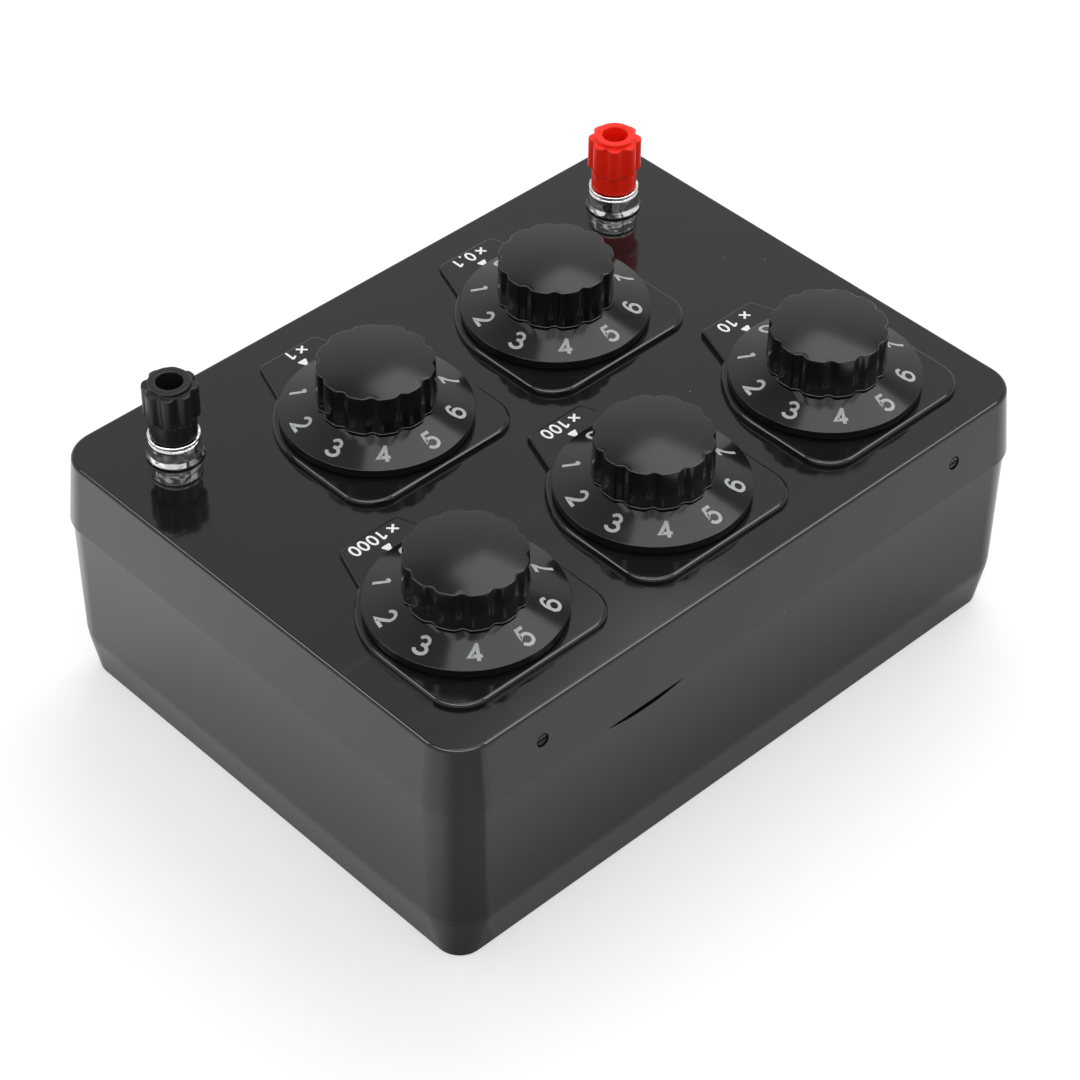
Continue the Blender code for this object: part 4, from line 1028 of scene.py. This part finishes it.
def figure_strokes(figure):
    """Centre lines of a figure's strokes, x from -0.5 to 0.5 and y from 0 to 1, and whether each closes."""
    strokes = {
        "0": [(bow((0, 0.5), (0.5, 0.5), 0, 360, 41)[:-1], True)],
        "1": [(line((0.10, 0.0), (0.10, 1.0)), False), (line((0.10, 0.97), (-0.30, 0.76)), False)],
        "2": [(np.concatenate([bow((0, 0.70), (0.49, 0.30), 170, -28), line((0.20, 0.40), (-0.5, 0.0),
               (0.5, 0.0))]), False)],
        "3": [(bow((-0.02, 0.76), (0.44, 0.24), 165, -88), False),
              (np.concatenate([[(-0.16, 0.53)], bow((-0.02, 0.265), (0.52, 0.265), 88, -168, 22)]), False)],
        "4": [(line((0.18, 0.0), (0.18, 1.0)), False), (line((0.18, 1.0), (-0.5, 0.27), (0.5, 0.27)), False)],
        "5": [(np.concatenate([line((0.42, 1.0), (-0.33, 1.0), (-0.42, 0.50)),
                               bow((0, 0.325), (0.5, 0.325), 128, -160, 24)]), False)],
        "6": [(bow((0, 0.31), (0.5, 0.31), 0, 360, 33)[:-1], True),
              (bow((0.04, 0.5), (0.54, 0.5), 42, 198), False)],
        "7": [(np.concatenate([line((-0.5, 1.0), (0.5, 1.0)), bow((0.62, 0.06), (0.80, 0.86), 106, 184, 12)]),
               False)],
        "8": [(bow((0, 0.765), (0.42, 0.235), 0, 360, 33)[:-1], True),
              (bow((0, 0.265), (0.5, 0.265), 0, 360, 33)[:-1], True)],
        "×": [(line((-0.5, 0.172), (0.5, 0.828)), False), (line((-0.5, 0.828), (0.5, 0.172)), False)],
        ".": [(line((0.0, -0.13), (0.0, 0.05), steps=2), False)],
    }
    if figure == "9":
        return [(-path + (0.0, 1.0), closed) for path, closed in figure_strokes("6")]
    return strokes[figure]


def add_figure(shell, figure, width, height, stroke, place, level):
    """Adds a figure's strokes as thin closed ribbons.

    A ribbon's edges lie at its centre line plus and minus half the stroke along the mitre of both
    neighbouring runs, and place(x, y, lift) carries these flat points to the surface.
    """
    least_cosine, longest_reach = 0.35, 2.2
    for number, (path, closed) in enumerate(figure_strokes(figure)):
        path = path * (width - stroke, height - stroke) + (0.0, stroke / 2 - height / 2)
        ahead = (np.roll(path, -1, axis=0) if closed else np.concatenate([path[1:], path[-1:]])) - path
        if not closed:
            ahead[-1] = ahead[-2]
        ahead = ahead / np.linalg.norm(ahead, axis=1, keepdims=True)
        behind = np.roll(ahead, 1, axis=0)
        if not closed:
            behind[0] = ahead[0]
        mitre = ahead + behind
        mitre = mitre / np.linalg.norm(mitre, axis=1, keepdims=True)
        across = np.stack([-mitre[:, 1], mitre[:, 0]], axis=1)
        cosine = np.maximum(np.sum(mitre * ahead, axis=1), least_cosine)
        reach = np.minimum(1 / cosine, longest_reach) * stroke / 2
        left, right = path + across * reach[:, None], path - across * reach[:, None]
        upper = level + number * STROKE_STEP
        corners = [place(left[:, 0], left[:, 1], -level), place(right[:, 0], right[:, 1], -level),
                   place(right[:, 0], right[:, 1], upper), place(left[:, 0], left[:, 1], upper)]
        shell.grid(np.stack(corners, axis=1), wrap_rows=closed, caps=() if closed else ("flat", "flat"))


class BOX_OT_dial_numbers(bpy.types.Operator):
    """Prints the numbers 0 to 9 round each dial"""
    bl_idname = "box.dial_numbers"
    bl_label = "Numbers on the dials"

    def execute(self, context):
        size = context.scene.box_dial
        film = context.scene.box_label.film
        for name, spot in DIAL_SPOTS.items():
            shell = Shell()
            for number in range(10):
                turn = -np.pi / 2 + 2 * np.pi * number / 10

                def place(x, y, lift, turn=turn, spot=spot, name=name):
                    radius = size.digit_circle - y
                    angle = turn + x / size.digit_circle
                    return np.stack([spot[0] + radius * np.cos(angle), spot[1] + radius * np.sin(angle),
                                     dial_cone(radius, name) + lift], axis=1)

                add_figure(shell, str(number), size.digit_width, size.digit_height, size.digit_stroke,
                           place, film)
            numbers = add_object(f"{name}_dial_numbers", shell)
            finish_piece(numbers, f"{name}_selector",
                         white_paint("grey_dial_paint", "digit_colour"))
        return {"FINISHED"}


class BOX_OT_labels(bpy.types.Operator):
    """Prints the range label and the index mark in front of each dial"""
    bl_idname = "box.labels"
    bl_label = "Range labels and index marks"

    def execute(self, context):
        size = context.scene.box_label
        paint = white_paint("white_label_paint", "label_colour")
        half, tip, corner_round = size.mark_width / 2, size.mark_height / 2, 0.0003
        triangle = filleted([(-half, -tip), (half, -tip), (0.0, tip)], corner_round, 5, closed=True)
        for name, (text, reach, places) in DECADES.items():
            spot = DIAL_SPOTS[name]
            shell = Shell()
            for figure, along in zip(text, places):

                def place(x, y, lift, along=along, reach=reach, spot=spot):
                    return np.stack([spot[0] + along + x, spot[1] - reach + y,
                                     np.full(len(x), PAD_TOP + lift)], axis=1)

                add_figure(shell, figure, FIGURE_WIDTHS[figure], size.label_height, size.label_stroke, place,
                           size.film)
            label = add_object(f"{name}_range_label", shell)
            finish_piece(label, "case", paint)
            outline = triangle + spot + (0.0, size.mark_gap - reach)
            rows = stacked(np.stack([outline, outline]), [PAD_TOP - size.film, PAD_TOP + size.film])
            mark = add_object(f"{name}_index_mark", Shell().grid(rows, caps=("flat", "flat")))
            finish_piece(mark, "case", paint)
        return {"FINISHED"}


# Binding posts

class BOX_OT_posts(bpy.types.Operator):
    """Makes the studs with their chromed collars, the washers and the screw caps"""
    bl_idname = "box.posts"
    bl_label = "Binding posts"

    def execute(self, context):
        case, size = context.scene.box_case, context.scene.box_post
        for name, spot in POST_SPOTS.items():
            self.stud(size, case.panel_height + case.gap, name, spot)
            self.washer(name, spot)
            self.cap(size, name, spot)
        return {"FINISHED"}

    @staticmethod
    def stud(size, seat, name, spot):
        low, high = bottom(f"{name}_stud"), top(f"{name}_stud")
        foot_top, collar_end = seat + size.foot_height, seat + size.collar_height
        thread, socket = size.thread_radius, size.socket_radius
        socket_floor = high - size.socket_depth
        corners = [(0.0, low), (thread, low), (thread, seat), (size.foot_radius, seat),
                   (size.foot_radius, seat + size.foot_edge), (size.collar_foot, foot_top),
                   (size.collar_top, collar_end), (thread, collar_end), (thread, high), (socket, high),
                   (socket, socket_floor), (0.0, socket_floor)]
        radii = [0, 0.0004, 0, 0.0001, 0.0003, 0.0009, 0.0007, 0, 0.0003, 0.0002, 0, 0]
        profile = filleted(corners, radii, 5)[1:-1]
        stud = add_object(f"{name}_collar_stud",
                          Shell().turned(profile, spot, columns=96, caps=("fan", "fan")))
        finish_piece(stud, "case", chrome(name), [f"{name}_stud"])

    @staticmethod
    def washer(name, spot):
        low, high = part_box(f"{name}_clamp_washer")
        outer = (high.x - low.x) / 2
        profile = filleted([(POST_BORE, low.z), (outer, low.z), (outer, high.z), (POST_BORE, high.z)],
                           [0.0001, 0.0003, 0.0003, 0.0001], 4, closed=True)
        washer = add_object(f"{name}_turned_washer", Shell().turned(profile, spot, columns=96))
        finish_piece(washer, f"{name}_washer", chrome(name), [f"{name}_clamp_washer"])

    @staticmethod
    def cap(size, name, spot):
        """Cap with round grooves between its lobes, none on its neck and none on its boss."""
        low, high = bottom(f"{name}_cap"), top(f"{name}_cap")
        shoulder = high - size.shoulder
        grip = low + size.neck_height
        grip_slope, neck_round, groove_width = 0.0009, 0.0005, 0.0042
        corners = [(POST_BORE, low), (size.neck_radius, low), (size.neck_radius, grip),
                   (size.lobe_radius, grip + grip_slope), (size.lobe_radius, shoulder),
                   (size.boss_radius, shoulder), (size.boss_radius, high), (POST_BORE, high)]
        radii = [0.0002, 0.0002, 0.0004, 0.0005, 0.0005, 0.0002, 0.0003, 0.0004]
        profile = filleted(corners, radii, 4, closed=True)
        columns = size.lobes * 16
        grooves = groove_dips(around(columns), size.lobes, groove_width, size.lobe_depth, size.lobe_radius)
        share = np.clip((profile[:, 0] - size.boss_radius) / (size.lobe_radius - size.boss_radius), 0.0, 1.0)
        share = np.where(profile[:, 1] < grip - neck_round, 0.0, share)
        cap = add_object(f"{name}_lobed_cap",
                         Shell().turned(profile, spot, columns, dips=share[:, None] * grooves[None, :]))
        finish_piece(cap, f"{name}_screw_cap", cap_plastic(name), [f"{name}_cap"],
                     crease=45.0)


class BOX_OT_inner_finishes(bpy.types.Operator):
    """Gives their finishes to the screws and to what the case hides"""
    bl_idname = "box.inner_finishes"
    bl_label = "Finishes of screws and inner pieces"

    def execute(self, context):
        brass = (0.72, 0.48, 0.18)
        steel = (0.52, 0.53, 0.54)
        looks = {
            "_shaft": finish("ground_steel", turned_metal, steel, gloss=0.22, streak=0.12),
            "_bush": finish("plated_bush_brass", turned_metal, (0.66, 0.60, 0.50), gloss=0.25, streak=0.10),
            "_wiper": finish("stamped_wiper_brass", turned_metal, brass, gloss=0.30, streak=0.08,
                             tarnish=0.3),
            "_detent_spring": finish("blued_spring_steel", turned_metal, (0.22, 0.23, 0.27), gloss=0.28,
                                     streak=0.05),
            "_contact_board": finish("brown_paper_laminate", laminate_board, (0.20, 0.085, 0.035), brass),
            "_resistor_chain": finish("blue_resistor_lacquer", banded_lacquer, (0.10, 0.32, 0.50)),
            "_nut": finish("bright_nut_brass", turned_metal, brass, gloss=0.24, streak=0.08, tarnish=0.2),
        }
        screws = finish("blackened_screw_steel", turned_metal, (0.035, 0.035, 0.037), gloss=0.30, streak=0.10)
        sleeves = {
            "red_lead": finish("red_lead_sleeve", lead_sleeve, (0.60, 0.03, 0.02)),
            "black_lead": finish("black_lead_sleeve", lead_sleeve, (0.02, 0.02, 0.02)),
            "yellow": finish("yellow_lead_sleeve", lead_sleeve, (0.75, 0.55, 0.05)),
        }
        for name, node in NODES.items():
            look = next((made for ending, made in looks.items() if name.endswith(ending)), None)
            if name.startswith("cover_screw"):
                look = screws
            if name in sleeves:
                look = sleeves[name]
            elif name.startswith("lead_"):
                look = sleeves["yellow"]
            if look is None:
                continue
            node.data.materials.clear()
            node.data.materials.append(look)
        return {"FINISHED"}


# Floor, light and camera

# Darker places that glossy surfaces mirror: direction, half width in degrees and share of the light lost
DARKER_PLACES = (((-0.25, -0.50, 0.83), 9.0, 0.5), ((-0.70, -0.19, 0.69), 7.0, 0.55))


class BOX_OT_stage(bpy.types.Operator):
    """Sets up the pale floor, the soft light and the camera of the photograph"""
    bl_idname = "box.stage"
    bl_label = "Floor, light and camera"

    def execute(self, context):
        stage = context.scene.box_stage
        self.room(context.scene, stage)
        self.floor(stage)
        self.soft_box(context.scene, stage)
        self.camera(context.scene, stage)
        context.scene.view_settings.view_transform = "Standard"
        return {"FINISHED"}

    @staticmethod
    def room(scene, stage):
        """White room with what glossy surfaces mirror in it: walls, a dimmer ceiling, a soft box and strips.

        x, y and z are the parts of the direction. Each edge of the soft box is a straight line in x and y,
        and each darker place is a cone about its direction.
        """
        world = bpy.data.worlds.new("white_studio")
        scene.world = world
        graph = Graph(world, "ShaderNodeBackground", "ShaderNodeOutputWorld")
        way = graph.node("ShaderNodeTexCoord", output="Generated")
        x, y, z = graph.split(way)
        mirrored = stage.horizon - stage.ceiling_loss * z.between(0.5, 0.95)
        for direction, degrees, loss in DARKER_PLACES:
            aim = tuple(Vector(direction).normalized())
            near = graph.node("ShaderNodeVectorMath", {"operation": "DOT_PRODUCT"}, {0: way, 1: aim},
                              output="Value")
            inner, outer = (math.cos(math.radians(degrees * part)) for part in (0.3, 1.5))
            mirrored = mirrored * (1.0 - loss * near.between(outer, inner))
        bend = (y + 0.405).at_least(0.0)
        left_edge = (x + 0.33 * y + 0.70).between(-0.015, 0.015)
        right_edge = (1.7 * bend - 0.37 - x).between(-0.04, 0.03)
        front_edge, rear_edge = y.between(-0.525, -0.475), (0.06 - y).between(0.0, 0.06)
        soft_box = left_edge * right_edge * front_edge * rear_edge
        mirrored = mirrored + (stage.key_mirrored - mirrored) * soft_box
        left_strip = x.near(-0.53, 0.09, 0.14) * y.between(0.02, 0.10)
        front_strip = y.near(-0.545, 0.08, 0.13) * x.between(0.10, 0.18)
        high_strip = (x + y).between(0.0, 0.12) * z.between(0.79, 0.83) * (1.0 - z.between(0.965, 0.985))
        strips = (left_strip + front_strip) * z.between(0.66, 0.72) + high_strip
        mirrored = mirrored + stage.strip_mirrored * strips.clamped()
        seen = graph.rays("Camera")
        glossy = graph.rays("Glossy", "Transmission")
        strength = stage.world_diffuse + seen * (1.0 - stage.world_diffuse)
        strength = strength + glossy * (mirrored - stage.world_diffuse)
        graph.shader.inputs["Color"].default_value = (1.0, 1.0, 1.0, 1.0)
        graph.tree.links.new(strength.socket, graph.shader.inputs["Strength"])

    @staticmethod
    def floor(stage):
        """Round floor: x = r·cos(a), y = r·sin(a), with rings closer together under the box.

        Its glow is one value for the camera and another for glossy surfaces, which mirror it with painted
        shade dimmer beside the box and darker off its near corner, and with painted light brighter at its +X
        side.
        """
        radius = np.array([0.2, 0.5, 1.2, 3.0, 8.0])[:, None]
        angle = around(64)[None, :]
        points = np.stack([radius * np.cos(angle), radius * np.sin(angle), 0 * radius * angle], axis=-1)
        ground = add_object("studio_floor", Shell().grid(points[::-1], caps=(None, "flat")))
        if ground.data.polygons[0].normal.z < 0:
            ground.data.flip_normals()
        made = Finish("pale_floor")
        soft = made.noise(2.0, 2.0)
        grey = stage.floor_colour
        x, y, _ = made.split(made.place)
        half_x, half_y = (float(half) for half in SKIRT_HALF)
        beside = (abs(x) - half_x).at_least(abs(y) - half_y)
        # Painted shade: the mirrored glow is lower beside the box, where the box's shade falls on the floor
        mirrored = stage.near_glow + (stage.far_glow - stage.near_glow) * beside.between(0.0, 0.05)
        # Painted light: more mirrored glow at the box's +X side, where the floor lies outside the box's
        # shadow
        side = (x - half_x).between(-0.01, 0.01) * (2.0 - y.between(-0.14, 0.04))
        mirrored = mirrored + stage.side_glow * side
        # Painted shade: the floor mirrors darker off the box's near corner
        corner_x, corner_y = 0.083, 0.061
        turn = (y - corner_y).arc_tangent(x - corner_x)
        corner = turn.between(0.1, 0.75) * (1.0 - turn.between(1.70, 1.85))
        mirrored = mirrored * (1.0 - stage.corner_loss * corner)
        glow = made.rays("Camera") * stage.floor_glow + made.rays("Glossy", "Transmission") * mirrored
        tint = made.mix(soft, rgba((grey, grey, grey)), scaled((grey, grey, grey), 1.02))
        ground.data.materials.append(made.done(base_color=tint, roughness=0.9, emission_color=glow,
                                               emission_strength=1.0, specular_ior_level=0.0))

    @staticmethod
    def soft_box(scene, stage):
        """Lights dull surfaces only: glossy ones mirror the soft box as a part of the room."""
        light = bpy.data.lights.new("key_soft_box", "AREA")
        light.shape = "SQUARE"
        light.size = stage.key_side
        light.energy = stage.key_power
        direction = Vector(stage.key_direction).normalized()
        lamp = bpy.data.objects.new("key_soft_box", light)
        lamp.location = direction * stage.key_distance + Vector((0.0, 0.0, PAD_TOP))
        lamp.rotation_euler = direction.to_track_quat("Z", "Y").to_euler()
        lamp.visible_camera = False
        lamp.visible_glossy = False
        scene.collection.objects.link(lamp)

    @staticmethod
    def camera(scene, stage):
        """Camera place and axes in the frame of the part, fitted to the photograph's corners and circles."""
        place = (0.422008, 0.438751, 0.581315)
        right = Vector((-0.73219, 0.6811, -0.0013)).normalized()
        back = Vector((0.50416, 0.54327, 0.67133)).normalized()
        lens = bpy.data.cameras.new("photograph")
        lens.sensor_width = 36.0
        lens.lens = stage.focal_length
        lens.shift_x = 0.037037
        lens.clip_end = 20.0
        up = back.cross(right).normalized()
        right = up.cross(back)
        axes = Matrix((right, up, back)).transposed().to_4x4()
        camera = bpy.data.objects.new("photograph", lens)
        camera.matrix_world = Matrix.Translation(place) @ axes
        scene.collection.objects.link(camera)
        scene.camera = camera


STEPS = (BOX_OT_top_cover, BOX_OT_bottom_case, BOX_OT_knobs, BOX_OT_dials, BOX_OT_dial_numbers, BOX_OT_labels,
         BOX_OT_posts, BOX_OT_inner_finishes, BOX_OT_stage)
SETTINGS = {"box_case": BoxCaseSettings, "box_pad": BoxPadSettings, "box_knob": BoxKnobSettings,
            "box_dial": BoxDialSettings, "box_label": BoxLabelSettings, "box_post": BoxPostSettings,
            "box_finishes": BoxFinishSettings, "box_stage": BoxStageSettings}


class BOX_PT_pieces(bpy.types.Panel):
    """Lists the pieces of the box and their settings"""
    bl_idname = "BOX_PT_pieces"
    bl_label = "Decade resistance box"
    bl_space_type = "VIEW_3D"
    bl_region_type = "UI"
    bl_category = "Decade box"

    def draw(self, context):
        for step in STEPS:
            self.layout.operator(step.bl_idname)
        for key, group in SETTINGS.items():
            column = self.layout.box().column()
            for name in group.__annotations__:
                column.prop(getattr(context.scene, key), name)


def register():
    for made in (*SETTINGS.values(), *STEPS, BOX_PT_pieces):
        bpy.utils.register_class(made)
    for key, group in SETTINGS.items():
        setattr(bpy.types.Scene, key, PointerProperty(type=group))


def unregister():
    for key in SETTINGS:
        delattr(bpy.types.Scene, key)
    for made in reversed((*SETTINGS.values(), *STEPS, BOX_PT_pieces)):
        bpy.utils.unregister_class(made)


def main():
    register()
    for step in STEPS:
        group, name = step.bl_idname.split(".")
        getattr(getattr(bpy.ops, group), name)()


if __name__ == "__main__":
    main()
